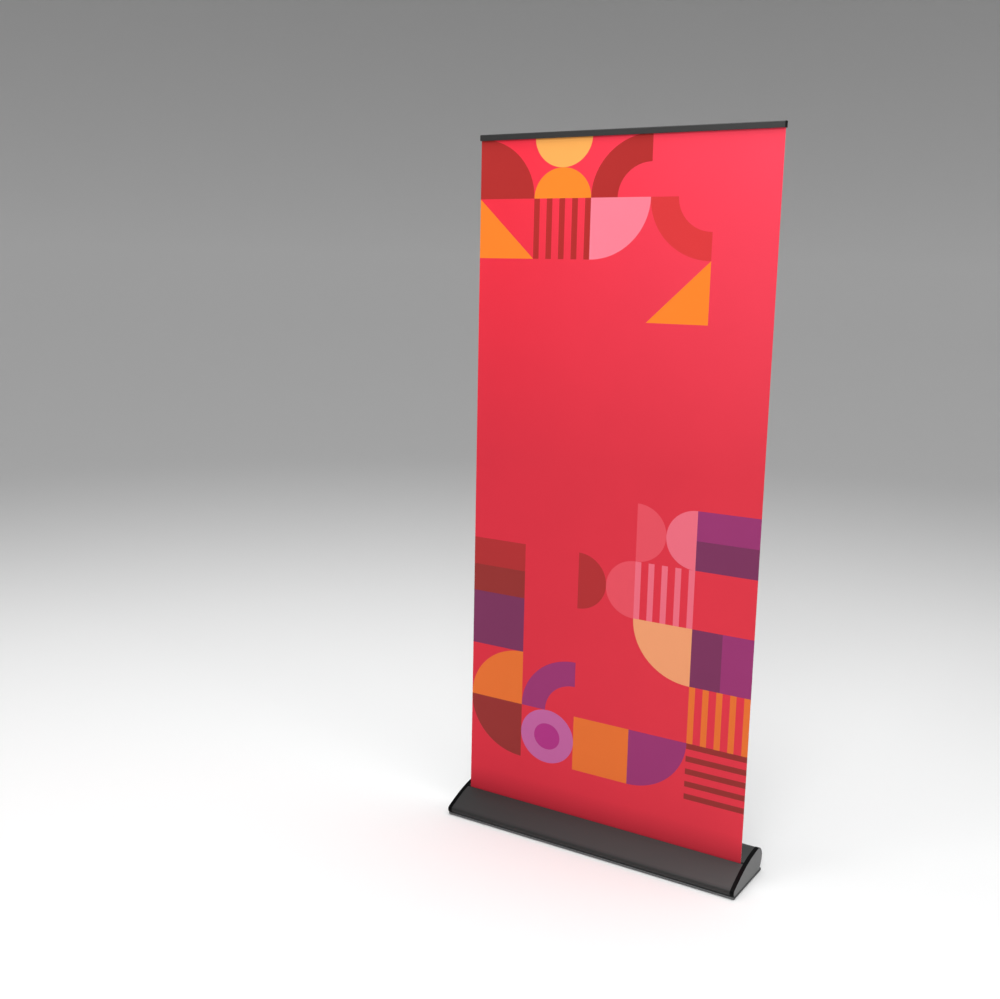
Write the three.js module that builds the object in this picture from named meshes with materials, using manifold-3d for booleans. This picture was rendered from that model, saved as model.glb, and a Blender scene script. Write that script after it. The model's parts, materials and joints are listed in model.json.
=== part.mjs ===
// Roll-up banner stand: a graphic on a sprung roller in a teardrop casing, held up by a rail on a pole.
// Millimetres. The origin is on the floor under the middle of the casing. +X runs along the casing,
// +Y to the back, where the pole stands, and +Z up.
import * as THREE from "three";
import { mergeVertices } from "three/addons/utils/BufferGeometryUtils.js";
import Module from "manifold-3d";

const wasm = await Module();
wasm.setup();

// Overall
const HEIGHT = 2080;
const GRAPHIC_WIDTH = 914;
const GRAPHIC_THICKNESS = 0.4;
const BANNER_Y = -10; // the plane that the graphic hangs in
const GAP = 0.3; // between pieces that touch
const SAFE = 1; // how far a cutting shape runs past the piece it cuts

// Base plate on its rubber pads
const BASE_LENGTH = 954;
const PLATE_FRONT_Y = -104;
const PLATE_BACK_Y = 108;
const PLATE_BOTTOM_Z = 2;
const PLATE_TOP_Z = 7.5;
const PLATE_CORNER_R = 2.5;
const PAD_LENGTH = 60;
const PAD_DEPTH = 14;
const PAD_X = 400;
const PAD_FRONT_Y = -90;
const PAD_BACK_Y = 94;

// Rivets through the plate and the casing's floor, with countersunk heads
const RIVET_X = 320;
const RIVET_FRONT_Y = -60;
const RIVET_BACK_Y = 66;
const RIVET_R = 2.2;
const RIVET_HOLE_R = 2.6;
const RIVET_SET_R = 4.2;
const RIVET_SET_HEIGHT = 2.4;
const COUNTERSINK = 2.4; // a countersunk head is this deep, and widens by as much

// Casing section in the y-z plane: toe, nose, front slope, crown, shoulder, back and heel
const CASING_BOTTOM_Z = PLATE_TOP_Z + GAP;
const TOE = [-93, CASING_BOTTOM_Z];
const NOSE_TOP = [-104, 28.5];
const CROWN = [75, 81.5];
const BACK = [108.5, 48];
const HEEL = [91, CASING_BOTTOM_Z];
const CURVE_STEPS = 9;

// Casing shells
const CAP_DEPTH = 12; // length of base that each end cap takes
const SHELL_HALF = BASE_LENGTH / 2 - CAP_DEPTH - GAP;
const SHELL_INSET = 1; // the shells lie this far inside the end caps' outline
const SHELL_WALL = 2;
const SLOT_WIDTH = 6.6;
const SLOT_FRONT_Y = BANNER_Y - SLOT_WIDTH / 2;
const SLOT_BACK_Y = BANNER_Y + SLOT_WIDTH / 2;
const SEAM_Y = -2; // where the two shells' floors meet
const LIP_DEPTH = 8;
const LIP_THICKNESS = 1.8;
const FELT_THICKNESS = 2.2;
const FELT_HALF = GRAPHIC_WIDTH / 2 + 3;

// Screws that hold the end caps, in ports along the shells' inner walls
const PORT_R = 4.5;
const PORT_DEPTH = SHELL_INSET + SHELL_WALL + PORT_R - 0.6;
const SCREW_R = 1.9;
const SCREW_HOLE_R = 2.2;
const SCREW_REACH = 26;
const SCREW_HEAD_R = 3.5;
const SCREW_SEAT_R = 3.9;
const SCREW_SEAT_DEPTH = 2;

// End caps
const CAP_WALL = 2.6;
const CAP_WEB = 2.4;
const INSERT_THICKNESS = 1.5;
const INSERT_RIM = 1.3;
const BEARING_R = 10;
const BEARING_REACH = 2;

// Roller
const ROLLER_R = 14;
const ROLLER_WALL = 1.6;
const ROLL_R = 15; // outside of the graphic's wound tail
const ROLLER_Y = BANNER_Y + GRAPHIC_THICKNESS / 2 + GAP + ROLL_R;
const ROLLER_Z = 42;
const ROLLER_AXIS = [0, ROLLER_Y, ROLLER_Z];
const ROLLER_HALF = 457.5;
const PLUG_REACH = 28;
const PLUG_FLANGE = 2.1;
const SHAFT_R = 3.5;
const SHAFT_LENGTH = 330;
const SHAFT_TIP_X = SHAFT_LENGTH - ROLLER_HALF;
const SHAFT_SQUARE_HALF = 3;
const BUSH_WALL = 2;
const PIN_REACH = 26;
const ANCHOR_R = 10.5;
const ANCHOR_LENGTH = 16;
const SPRING_R = 8;
const SPRING_WIRE_R = 0.9;
const SPRING_TURNS = 18;

// Pole and its socket
const POLE_Y = 38;
const POLE_AXIS = [0, POLE_Y, 0];
const POLE_R = 7.5;
const POLE_WALL = 1;
const POLE_BORE_R = POLE_R - POLE_WALL;
const POLE_FIT = 0.4; // clearance round the pole in the socket and in the collar
const POLE_FOOT_Z = 16.4;
const POLE_TOP_Z = HEIGHT - 1;
const POLE_SECTIONS = ["lower", "middle", "upper"];
const POLE_PLUG_FLANGE = 3.6;
const POLE_PLUG_REACH = 30;
const FERRULE_HALF = 45;
const FERRULE_WALL = 1.5;
const SOCKET_R = 10.5;
const SOCKET_RIM_R = 13;
const SOCKET_RIM_HEIGHT = 22;
const SOCKET_TOP_Z = 81;
const CORD_R = 1.5;
const KNOT_R = 3.4;
const KNOT_DEPTH = 6;
const KNOT_POCKET_R = 4;
const KNOT_POCKET_DEPTH = 11;

// Top rail: a hollow back profile, and a front jaw that turns about pins near its top edge
const RAIL_HEIGHT = 17;
const RAIL_HALF_DEPTH = 7;
const RAIL_HALF_LENGTH = 458.3;
const RAIL_END = 1; // thickness of the plates on the rail's ends
const RAIL_WALL = 1.4;
const RAIL_BOTTOM_Z = HEIGHT - RAIL_HEIGHT;
const RAIL_FRONT_Y = BANNER_Y - RAIL_HALF_DEPTH;
const RAIL_BACK_Y = BANNER_Y + RAIL_HALF_DEPTH;
const PROFILE_HALF = RAIL_HALF_LENGTH - RAIL_END - GAP;
const JAW_DEPTH = 6.4;
const JAW_R = JAW_DEPTH / 2;
const JAW_BACK_Y = RAIL_FRONT_Y + JAW_DEPTH;
const JAW_Y = RAIL_FRONT_Y + JAW_R;
const JAW_Z = HEIGHT - JAW_R;
const JAW_PIN_R = 1.1;
const JAW_PIN_REACH = 9;
const GRIP_HEIGHT = 4;
const GRIP_DEPTH = 1.2;

// Pole clip: a bracket on the rail's back, an arm, and a split collar that a lever clamps round the pole
const CLIP_BOTTOM_Z = RAIL_BOTTOM_Z + 1.5;
const CLIP_TOP_Z = HEIGHT - 0.5;
const BRACKET_HALF = 30;
const BRACKET_THICKNESS = 3;
const ARM_ROOT_HALF = 16;
const ARM_HALF = 7;
const COLLAR_R = 12;
const SLIT_HALF = 1.2;
const EAR_HALF = 5.5;
const CLAMP_Y = POLE_Y + 17;
const CLAMP_Z = (CLIP_BOTTOM_Z + CLIP_TOP_Z) / 2;
const CLIP_SCREW_X = 22;
const CLIP_SCREW_R = 1.5;
const CLIP_SCREW_HEAD_R = 3.2;
const NUT_R = 4;
const NUT_THICKNESS = 3.7;
const LEVER_X = 10;
const LEVER_HUB_R = 4.2;
const LEVER_IN_X = 14;
const LEVER_OUT_X = 18;
const LEVER_PIN_R = 1.3;
const EYE_R = 3.2;
const EYE_HALF_HEIGHT = 2.4;

// Sides of a round piece: small screws, common sizes, and the large rounds that are seen
const SCREW_ROUND = 14;
const ROUND = 20;
const FINE_ROUND = 28;

const FINISHES = {
  anodised: { color: 0x474546, roughness: 0.42, metalness: 0.7 },
  rail: { color: 0x3e3d3e, roughness: 0.45, metalness: 0.6 },
  plate: { color: 0x565859, roughness: 0.5, metalness: 0.5 },
  blackPlastic: { color: 0x08080a, roughness: 0.18, metalness: 0 },
  greyPlastic: { color: 0x767676, roughness: 0.45, metalness: 0.1 },
  graphic: { color: 0xe83a4e, roughness: 0.5, metalness: 0 },
  aluminium: { color: 0xb4b6b8, roughness: 0.35, metalness: 0.9 },
  steel: { color: 0x8f9296, roughness: 0.3, metalness: 1 },
  rubber: { color: 0x161616, roughness: 0.9, metalness: 0 },
  felt: { color: 0x1c1c1e, roughness: 1, metalness: 0 },
  nylon: { color: 0xd9d8d2, roughness: 0.5, metalness: 0 },
  cord: { color: 0x222226, roughness: 0.85, metalness: 0 },
};

const banner = new THREE.Group();

function node(name, geometry, finish) {
  const mesh = new THREE.Mesh(geometry, new THREE.MeshStandardMaterial(FINISHES[finish]));
  mesh.name = name;
  banner.add(mesh);
}

// Solids

// The geometry with only shared positions, and its faces turned outwards
function bare(geometry) {
  const copy = geometry.clone();
  copy.deleteAttribute("normal");
  copy.deleteAttribute("uv");
  const merged = mergeVertices(copy, 1e-4);
  const p = merged.attributes.position;
  const corners = merged.index.array;
  const [a, b, c] = [new THREE.Vector3(), new THREE.Vector3(), new THREE.Vector3()];
  let volume = 0;
  for (let i = 0; i < corners.length; i += 3) {
    a.fromBufferAttribute(p, corners[i]);
    b.fromBufferAttribute(p, corners[i + 1]);
    c.fromBufferAttribute(p, corners[i + 2]);
    volume += a.dot(b.cross(c));
  }
  if (volume < 0) {
    for (let i = 0; i < corners.length; i += 3) {
      [corners[i], corners[i + 1]] = [corners[i + 1], corners[i]];
    }
  }
  return merged;
}

function solid(geometry) {
  const merged = bare(geometry);
  return new wasm.Manifold(
    new wasm.Mesh({
      numProp: 3,
      vertProperties: merged.attributes.position.array,
      triVerts: new Uint32Array(merged.index.array),
    }),
  );
}

function geometryOf(manifold) {
  const mesh = manifold.getMesh();
  const geometry = new THREE.BufferGeometry();
  geometry.setAttribute("position", new THREE.BufferAttribute(mesh.vertProperties, 3));
  geometry.setIndex(new THREE.BufferAttribute(mesh.triVerts, 1));
  geometry.computeVertexNormals();
  return geometry;
}

function join(...geometries) {
  return geometryOf(geometries.map(solid).reduce((a, b) => a.add(b)));
}

function cut(geometry, ...tools) {
  return geometryOf(tools.map(solid).reduce((a, b) => a.subtract(b), solid(geometry)));
}

function common(a, b) {
  return geometryOf(solid(a).intersect(solid(b)));
}

// Basic shapes, given by their limits in the frame

function block([x0, x1], [y0, y1], [z0, z1]) {
  const box = new THREE.BoxGeometry(x1 - x0, y1 - y0, z1 - z0);
  return box.translate((x0 + x1) / 2, (y0 + y1) / 2, (z0 + z1) / 2);
}

// A section drawn in y and z, extruded from x0 to x1
function alongX(shape, [x0, x1]) {
  const settings = { depth: x1 - x0, bevelEnabled: false, curveSegments: 8 };
  const geometry = new THREE.ExtrudeGeometry(shape, settings);
  const turn = new THREE.Matrix4().makeBasis(
    new THREE.Vector3(0, 1, 0),
    new THREE.Vector3(0, 0, 1),
    new THREE.Vector3(1, 0, 0),
  );
  return bare(geometry.applyMatrix4(turn).translate(x0, 0, 0));
}

// A section drawn in x and y, extruded from z0 to z1
function alongZ(shape, [z0, z1]) {
  const settings = { depth: z1 - z0, bevelEnabled: false, curveSegments: 6 };
  const geometry = new THREE.ExtrudeGeometry(shape, settings);
  return bare(geometry.translate(0, 0, z0));
}

// A profile of [radius, distance] pairs turned about a line through `at`, which runs along `axis`
function turned(profile, axis, at, sides = ROUND) {
  const points = profile.map(([r, d]) => new THREE.Vector2(r, d));
  const geometry = new THREE.LatheGeometry(points, sides);
  if (axis === "x") geometry.rotateZ(-Math.PI / 2);
  if (axis === "z") geometry.rotateX(Math.PI / 2);
  return bare(geometry.translate(...at));
}

function rod(axis, radius, [from, to], at, sides = ROUND) {
  return turned([[0, from], [radius, from], [radius, to], [0, to]], axis, at, sides);
}

function sleeve(axis, [inner, outer], [from, to], at, sides = ROUND) {
  const profile = [[inner, from], [outer, from], [outer, to], [inner, to], [inner, from]];
  return turned(profile, axis, at, sides);
}

// The limits from a to b, counted outwards from the middle to the left (side -1) or the right (side 1)
function outwards(side, a, b) {
  return side < 0 ? [-b, -a] : [a, b];
}

// A square bar along x, round the roller's axis
function squareBar(half, spanX) {
  return block(spanX, [ROLLER_Y - half, ROLLER_Y + half], [ROLLER_Z - half, ROLLER_Z + half]);
}

// The profile of a countersunk head under the plate, down to a shank of radius r
function countersunk(r) {
  const z = PLATE_BOTTOM_Z + GAP;
  return [[0, z], [r + COUNTERSINK, z], [r, z + COUNTERSINK]];
}

// Casing section

function bezier(...points) {
  return new THREE.CubicBezierCurve(...points.map(([y, z]) => new THREE.Vector2(y, z)));
}

const SECTION = {
  toe: bezier(TOE, [-104, 10.5], [-115.1, 22], NOSE_TOP),
  slope: bezier(NOSE_TOP, [-44, 59.7], [5, 78.7], CROWN),
  shoulder: bezier(CROWN, [89, 82], [107.5, 64], BACK),
  back: bezier(BACK, [108.5, 32], [98, 20], HEEL),
};

// The point on a curve at t, moved into the casing by depth
function insetPoint(curve, t, depth) {
  const point = curve.getPoint(t);
  const tangent = curve.getTangent(t);
  return new THREE.Vector2(point.x + tangent.y * depth, point.y - tangent.x * depth);
}

// The height of the front slope at a given y, for a surface moved into the casing by depth
function slopeHeight(y, depth) {
  let [low, high] = [0, 1];
  for (let i = 0; i < 30; i++) {
    const middle = (low + high) / 2;
    if (insetPoint(SECTION.slope, middle, depth).x < y) low = middle;
    else high = middle;
  }
  return insetPoint(SECTION.slope, low, depth).y;
}

// The casing's closed section, inset on its curved sides, standing on bottomZ
function sectionShape(inset, bottomZ) {
  const points = [];
  for (const curve of Object.values(SECTION)) {
    for (let i = points.length ? 1 : 0; i <= CURVE_STEPS; i++) {
      const p = insetPoint(curve, i / CURVE_STEPS, inset);
      if (p.y >= bottomZ) points.push(p);
    }
  }
  const first = points[0];
  const last = points[points.length - 1];
  if (first.y > bottomZ) points.unshift(new THREE.Vector2(first.x, bottomZ));
  if (last.y > bottomZ) points.push(new THREE.Vector2(last.x, bottomZ));
  return new THREE.Shape(points);
}

// Screw ports: two in the front shell, then two in the rear one
const PORTS = [
  insetPoint(SECTION.toe, 0.62, PORT_DEPTH),
  insetPoint(SECTION.slope, 0.36, PORT_DEPTH),
  insetPoint(SECTION.shoulder, 0.2, PORT_DEPTH),
  insetPoint(SECTION.back, 0.7, PORT_DEPTH),
];
const FRONT_PORTS = PORTS.slice(0, 2);
const REAR_PORTS = PORTS.slice(2);

const RIVETS = [RIVET_FRONT_Y, RIVET_BACK_Y].flatMap((y) => [[-RIVET_X, y], [RIVET_X, y]]);

function basePlate() {
  const [x, front, back, r] = [BASE_LENGTH / 2, PLATE_FRONT_Y, PLATE_BACK_Y, PLATE_CORNER_R];
  const outline = new THREE.Shape();
  outline.moveTo(-x + r, front);
  outline.lineTo(x - r, front);
  outline.absarc(x - r, front + r, r, -Math.PI / 2, 0);
  outline.lineTo(x, back - r);
  outline.absarc(x - r, back - r, r, 0, Math.PI / 2);
  outline.lineTo(-x + r, back);
  outline.absarc(-x + r, back - r, r, Math.PI / 2, Math.PI);
  outline.lineTo(-x, front + r);
  outline.absarc(-x + r, front + r, r, Math.PI, 1.5 * Math.PI);
  const plate = alongZ(outline, [PLATE_BOTTOM_Z, PLATE_TOP_Z]);

  // Holes for the rivets and the socket's screw, wide enough below for their countersunk heads
  const sinkDepth = COUNTERSINK + GAP / 2;
  const hole = [
    [0, PLATE_BOTTOM_Z - SAFE],
    [RIVET_HOLE_R + sinkDepth + SAFE, PLATE_BOTTOM_Z - SAFE],
    [RIVET_HOLE_R, PLATE_BOTTOM_Z + sinkDepth],
    [RIVET_HOLE_R, PLATE_TOP_Z + SAFE],
    [0, PLATE_TOP_Z + SAFE],
  ];
  const holes = [...RIVETS, [0, POLE_Y]].map(([hx, hy]) => turned(hole, "z", [hx, hy, 0], SCREW_ROUND));
  node("base_plate", cut(plate, ...holes), "plate");
}

function footPads() {
  const centres = [PAD_FRONT_Y, PAD_BACK_Y].flatMap((y) => [[-PAD_X, y], [PAD_X, y]]);
  for (const [i, [x, y]] of centres.entries()) {
    const spanX = [x - PAD_LENGTH / 2, x + PAD_LENGTH / 2];
    const spanY = [y - PAD_DEPTH / 2, y + PAD_DEPTH / 2];
    node(`foot_pad_${i + 1}`, block(spanX, spanY, [0, PLATE_BOTTOM_Z - GAP]), "rubber");
  }
}

function rivets() {
  const setZ = CASING_BOTTOM_Z + SHELL_WALL + GAP;
  const profile = [
    ...countersunk(RIVET_R),
    [RIVET_R, setZ],
    [RIVET_SET_R, setZ],
    [RIVET_SET_R - 1, setZ + RIVET_SET_HEIGHT - 0.4],
    [0, setZ + RIVET_SET_HEIGHT],
  ];
  for (const [i, [x, y]] of RIVETS.entries()) {
    node(`plate_rivet_${i + 1}`, turned(profile, "z", [x, y, 0], SCREW_ROUND), "steel");
  }
}

function casingShells() {
  const length = [-SHELL_HALF, SHELL_HALF];
  const over = [-SHELL_HALF - SAFE, SHELL_HALF + SAFE];
  const allZ = [0, HEIGHT / 2];
  const highZ = [ROLLER_Z, HEIGHT / 2];
  const floorTop = CASING_BOTTOM_Z + SHELL_WALL;
  const outer = alongX(sectionShape(SHELL_INSET, CASING_BOTTOM_Z), length);
  const inner = alongX(sectionShape(SHELL_INSET + SHELL_WALL, floorTop), over);
  const slot = block(over, [SLOT_FRONT_Y, SLOT_BACK_Y], highZ);
  const ring = cut(outer, inner, slot);

  // The floor parts at the seam, and the crown at the slot
  const frontSide = block(over, [-BASE_LENGTH, SEAM_Y - GAP / 2], allZ);
  const rearSide = block(over, [SEAM_Y + GAP / 2, BASE_LENGTH], allZ);
  const crownEdge = block(over, [SLOT_BACK_Y, SEAM_Y + SAFE], highZ);
  const frontWall = cut(common(ring, frontSide), crownEdge);
  const rearWall = join(common(ring, rearSide), common(ring, crownEdge));

  // A lip hangs inside each edge of the slot and carries a felt strip
  const lipTop = slopeHeight(SLOT_FRONT_Y - LIP_THICKNESS, SHELL_INSET + SHELL_WALL / 4);
  const lipBottom = lipTop - LIP_DEPTH;
  const frontLip = block(length, [SLOT_FRONT_Y - LIP_THICKNESS, SLOT_FRONT_Y], [lipBottom, lipTop]);
  const rearLipY = [SLOT_BACK_Y, SLOT_BACK_Y + LIP_THICKNESS];
  const rearLip = block(length, rearLipY, [lipBottom, lipTop + SHELL_WALL]);

  const port = (p) => rod("x", PORT_R, length, [0, p.x, p.y]);
  const bores = PORTS.map((p) => rod("x", SCREW_HOLE_R, over, [0, p.x, p.y], SCREW_ROUND));
  const floorZ = [0, floorTop + SHELL_WALL];
  const floorHole = (r, x, y) => rod("z", r, floorZ, [x, y, 0], SCREW_ROUND);
  const rivetHoles = RIVETS.map(([x, y]) => floorHole(RIVET_HOLE_R, x, y));
  const socketHoles = [
    rod("z", SOCKET_RIM_R + GAP, highZ, POLE_AXIS, FINE_ROUND),
    floorHole(SCREW_HOLE_R, 0, POLE_Y),
  ];
  const front = join(frontWall, frontLip, ...FRONT_PORTS.map(port));
  const rear = join(rearWall, rearLip, ...REAR_PORTS.map(port));
  node("casing_front", cut(front, ...bores, ...rivetHoles), "anodised");
  node("casing_rear", cut(rear, ...bores, ...rivetHoles, ...socketHoles), "anodised");

  const feltX = [-FELT_HALF, FELT_HALF];
  const feltZ = [lipBottom, lipTop - SHELL_WALL];
  const feltFrontY = [SLOT_FRONT_Y + GAP, SLOT_FRONT_Y + FELT_THICKNESS];
  const feltRearY = [SLOT_BACK_Y - FELT_THICKNESS, SLOT_BACK_Y - GAP];
  node("slot_felt_front", block(feltX, feltFrontY, feltZ), "felt");
  node("slot_felt_rear", block(feltX, feltRearY, feltZ), "felt");
}

// One end of the base: cap, flush insert and the cap's screws
function baseEnd(side) {
  const word = side < 0 ? "left" : "right";
  const face = BASE_LENGTH / 2;
  const inside = face - CAP_DEPTH;
  const insertBack = face - INSERT_THICKNESS;
  const pocketFloor = insertBack - GAP;
  const webInside = pocketFloor - CAP_WEB;
  const screwSeat = pocketFloor - SCREW_SEAT_DEPTH;
  const prism = (inset, bottom, a, b) => alongX(sectionShape(inset, bottom), outwards(side, a, b));

  const body = prism(0, CASING_BOTTOM_Z, inside, face);
  const facePocket = prism(INSERT_RIM, CASING_BOTTOM_Z + INSERT_RIM, pocketFloor, face + SAFE);
  const innerPocket = prism(CAP_WALL, CASING_BOTTOM_Z + CAP_WALL, inside - SAFE, webInside);
  const shell = cut(body, facePocket, innerPocket);
  const bearingX = outwards(side, inside - BEARING_REACH, screwSeat);
  const bearing = rod("x", BEARING_R, bearingX, ROLLER_AXIS, FINE_ROUND);
  const bosses = PORTS.map((p) => {
    const boss = rod("x", PORT_R, outwards(side, inside, screwSeat), [0, p.x, p.y]);
    return common(boss, body);
  });

  // The left bearing is square, to hold the shaft still, and the right one round
  const seatX = outwards(side, inside - BEARING_REACH - SAFE, webInside);
  const squareSeat = squareBar(SHAFT_SQUARE_HALF + GAP, seatX);
  const roundSeat = rod("x", SHAFT_R + GAP, seatX, ROLLER_AXIS);
  const screwHoles = PORTS.flatMap((p) => [
    rod("x", SCREW_HOLE_R, outwards(side, inside - SAFE, face), [0, p.x, p.y], SCREW_ROUND),
    rod("x", SCREW_SEAT_R, outwards(side, screwSeat, face), [0, p.x, p.y], SCREW_ROUND),
  ]);
  const cap = cut(join(shell, bearing, ...bosses), ...screwHoles, side < 0 ? squareSeat : roundSeat);
  node(`end_cap_${word}`, cap, "blackPlastic");

  const insertInset = INSERT_RIM + GAP;
  const insert = prism(insertInset, CASING_BOTTOM_Z + insertInset, insertBack, face);
  node(`end_insert_${word}`, insert, "greyPlastic");

  const [tip, shoulder, top] = [inside - SCREW_REACH, screwSeat + GAP, pocketFloor - GAP];
  const screw = [
    [0, tip],
    [SCREW_R, tip],
    [SCREW_R, shoulder],
    [SCREW_HEAD_R, shoulder],
    [SCREW_HEAD_R, top - 0.4],
    [0, top],
  ];
  const placed = screw.map(([r, d]) => [r, side * d]);
  for (const [i, p] of PORTS.entries()) {
    node(`cap_screw_${word}_${i + 1}`, turned(placed, "x", [0, p.x, p.y], SCREW_ROUND), "steel");
  }
}

class Helix extends THREE.Curve {
  constructor(fromX, toX) {
    super();
    this.fromX = fromX;
    this.toX = toX;
  }

  getPoint(t, target = new THREE.Vector3()) {
    const angle = t * SPRING_TURNS * 2 * Math.PI;
    const [y, z] = [SPRING_R * Math.cos(angle), SPRING_R * Math.sin(angle)];
    return target.set(this.fromX + t * (this.toX - this.fromX), ROLLER_Y + y, ROLLER_Z + z);
  }
}

function roller() {
  const bore = ROLLER_R - ROLLER_WALL;
  const tubeX = [-ROLLER_HALF, ROLLER_HALF];
  const tailX = [-GRAPHIC_WIDTH / 2, GRAPHIC_WIDTH / 2];
  node("roller_tube", sleeve("x", [bore, ROLLER_R], tubeX, ROLLER_AXIS, FINE_ROUND), "aluminium");
  node("graphic_tail", sleeve("x", [ROLLER_R + GAP, ROLL_R], tailX, ROLLER_AXIS, FINE_ROUND), "graphic");

  // A plug closes each end of the tube, and its flange keeps the tube off the end cap
  function plug(name, boreRadius, side) {
    const [deep, end] = [ROLLER_HALF - PLUG_REACH, ROLLER_HALF + GAP];
    const profile = [
      [boreRadius, deep],
      [bore - GAP, deep],
      [bore - GAP, end],
      [ROLLER_R, end],
      [ROLLER_R, end + PLUG_FLANGE],
      [boreRadius, end + PLUG_FLANGE],
      [boreRadius, deep],
    ];
    const placed = profile.map(([r, d]) => [r, side * d]);
    node(name, turned(placed, "x", ROLLER_AXIS, FINE_ROUND), "blackPlastic");
  }
  plug("roller_plug_left", SHAFT_R + GAP, -1);
  plug("roller_plug_right", SHAFT_R + BUSH_WALL + GAP, 1);

  const inside = BASE_LENGTH / 2 - CAP_DEPTH;
  const squareX = [-inside - 5, -inside + 3];
  const shaft = rod("x", SHAFT_R, [squareX[1] - 0.5, SHAFT_TIP_X], ROLLER_AXIS);
  node("roller_shaft", join(squareBar(SHAFT_SQUARE_HALF, squareX), shaft), "steel");
  const anchorX = [SHAFT_TIP_X - ANCHOR_LENGTH - 2, SHAFT_TIP_X - 2];
  node("spring_anchor", sleeve("x", [SHAFT_R + GAP, ANCHOR_R], anchorX, ROLLER_AXIS), "nylon");

  const wireSides = 5;
  const helix = new Helix(-ROLLER_HALF + PLUG_REACH + 2, anchorX[0] - 2);
  const corner = (i) => {
    const angle = (i * 2 * Math.PI) / wireSides;
    return new THREE.Vector2(SPRING_WIRE_R * Math.cos(angle), SPRING_WIRE_R * Math.sin(angle));
  };
  const wire = new THREE.Shape(Array.from({ length: wireSides }, (_, i) => corner(i)));
  const spring = new THREE.ExtrudeGeometry(wire, { extrudePath: helix, steps: SPRING_TURNS * 9 });
  node("torsion_spring", bare(spring), "steel");

  const pinX = [ROLLER_HALF - PIN_REACH, inside + 5];
  const bushX = [pinX[0], ROLLER_HALF + PLUG_FLANGE];
  node("bearing_pin", rod("x", SHAFT_R, pinX, ROLLER_AXIS), "steel");
  node("bearing_bush", sleeve("x", [SHAFT_R + 0.1, SHAFT_R + BUSH_WALL], bushX, ROLLER_AXIS), "nylon");
}

function graphic() {
  const x = [-GRAPHIC_WIDTH / 2, GRAPHIC_WIDTH / 2];
  const y = [BANNER_Y - GRAPHIC_THICKNESS / 2, BANNER_Y + GRAPHIC_THICKNESS / 2];
  node("banner_sheet", block(x, y, [ROLLER_Z, JAW_Z]), "graphic");
}

function poleSocket() {
  const floor = CASING_BOTTOM_Z + SHELL_WALL + GAP;
  const bore = POLE_R + POLE_FIT;
  const rimBottom = SOCKET_TOP_Z - SOCKET_RIM_HEIGHT;
  const rimStep = SOCKET_RIM_R - SOCKET_R;
  const chamfer = 0.8;
  const profile = [
    [SCREW_HOLE_R, floor],
    [SOCKET_R, floor],
    [SOCKET_R, rimBottom],
    [SOCKET_RIM_R, rimBottom + rimStep],
    [SOCKET_RIM_R, SOCKET_TOP_Z - chamfer],
    [SOCKET_RIM_R - chamfer, SOCKET_TOP_Z],
    [bore, SOCKET_TOP_Z],
    [bore, POLE_FOOT_Z - GAP],
    [SCREW_HOLE_R, POLE_FOOT_Z - GAP],
    [SCREW_HOLE_R, floor],
  ];
  node("pole_socket", turned(profile, "z", POLE_AXIS, FINE_ROUND), "blackPlastic");

  const screw = [...countersunk(SCREW_R), [SCREW_R, POLE_FOOT_Z - 2], [0, POLE_FOOT_Z - 1.4]];
  node("socket_screw", turned(screw, "z", POLE_AXIS, SCREW_ROUND), "steel");
}

function pole() {
  const bottom = POLE_FOOT_Z + POLE_PLUG_FLANGE + GAP;
  const top = POLE_TOP_Z - POLE_PLUG_FLANGE - GAP;
  const length = (top - bottom) / POLE_SECTIONS.length;
  for (const [i, word] of POLE_SECTIONS.entries()) {
    const low = bottom + i * length;
    const high = low + length - GAP;
    const tube = sleeve("z", [POLE_BORE_R, POLE_R], [low, high], POLE_AXIS, FINE_ROUND);
    node(`pole_${word}`, tube, "aluminium");
    if (i === POLE_SECTIONS.length - 1) continue;
    const radii = [POLE_BORE_R - GAP - FERRULE_WALL, POLE_BORE_R - GAP];
    const ferrule = sleeve("z", radii, [high - FERRULE_HALF, high + FERRULE_HALF], POLE_AXIS);
    node(`ferrule_${word}`, ferrule, "steel");
  }

  // Each end plug holds a knot of the shock cord in its pocket
  const cordHole = CORD_R + 0.5;
  function plug(name, end, inward) {
    const profile = [
      [KNOT_POCKET_R, 0],
      [POLE_R, 0],
      [POLE_R, POLE_PLUG_FLANGE],
      [POLE_BORE_R - GAP, POLE_PLUG_FLANGE],
      [POLE_BORE_R - GAP, POLE_PLUG_REACH],
      [cordHole, POLE_PLUG_REACH],
      [cordHole, KNOT_POCKET_DEPTH],
      [KNOT_POCKET_R, KNOT_POCKET_DEPTH],
      [KNOT_POCKET_R, 0],
    ];
    const placed = profile.map(([r, d]) => [r, end + inward * d]);
    node(name, turned(placed, "z", POLE_AXIS), "blackPlastic");
  }
  plug("pole_foot_plug", POLE_FOOT_Z, 1);
  plug("pole_top_plug", POLE_TOP_Z, -1);

  const knotLow = POLE_FOOT_Z + KNOT_DEPTH;
  const knotHigh = POLE_TOP_Z - KNOT_DEPTH;
  const cordZ = [knotLow + KNOT_R + GAP, knotHigh - KNOT_R - GAP];
  const knot = (z) => bare(new THREE.SphereGeometry(KNOT_R, 10, 8).translate(0, POLE_Y, z));
  node("shock_cord", rod("z", CORD_R, cordZ, POLE_AXIS, 8), "cord");
  node("cord_knot_low", knot(knotLow), "cord");
  node("cord_knot_high", knot(knotHigh), "cord");
}

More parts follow.
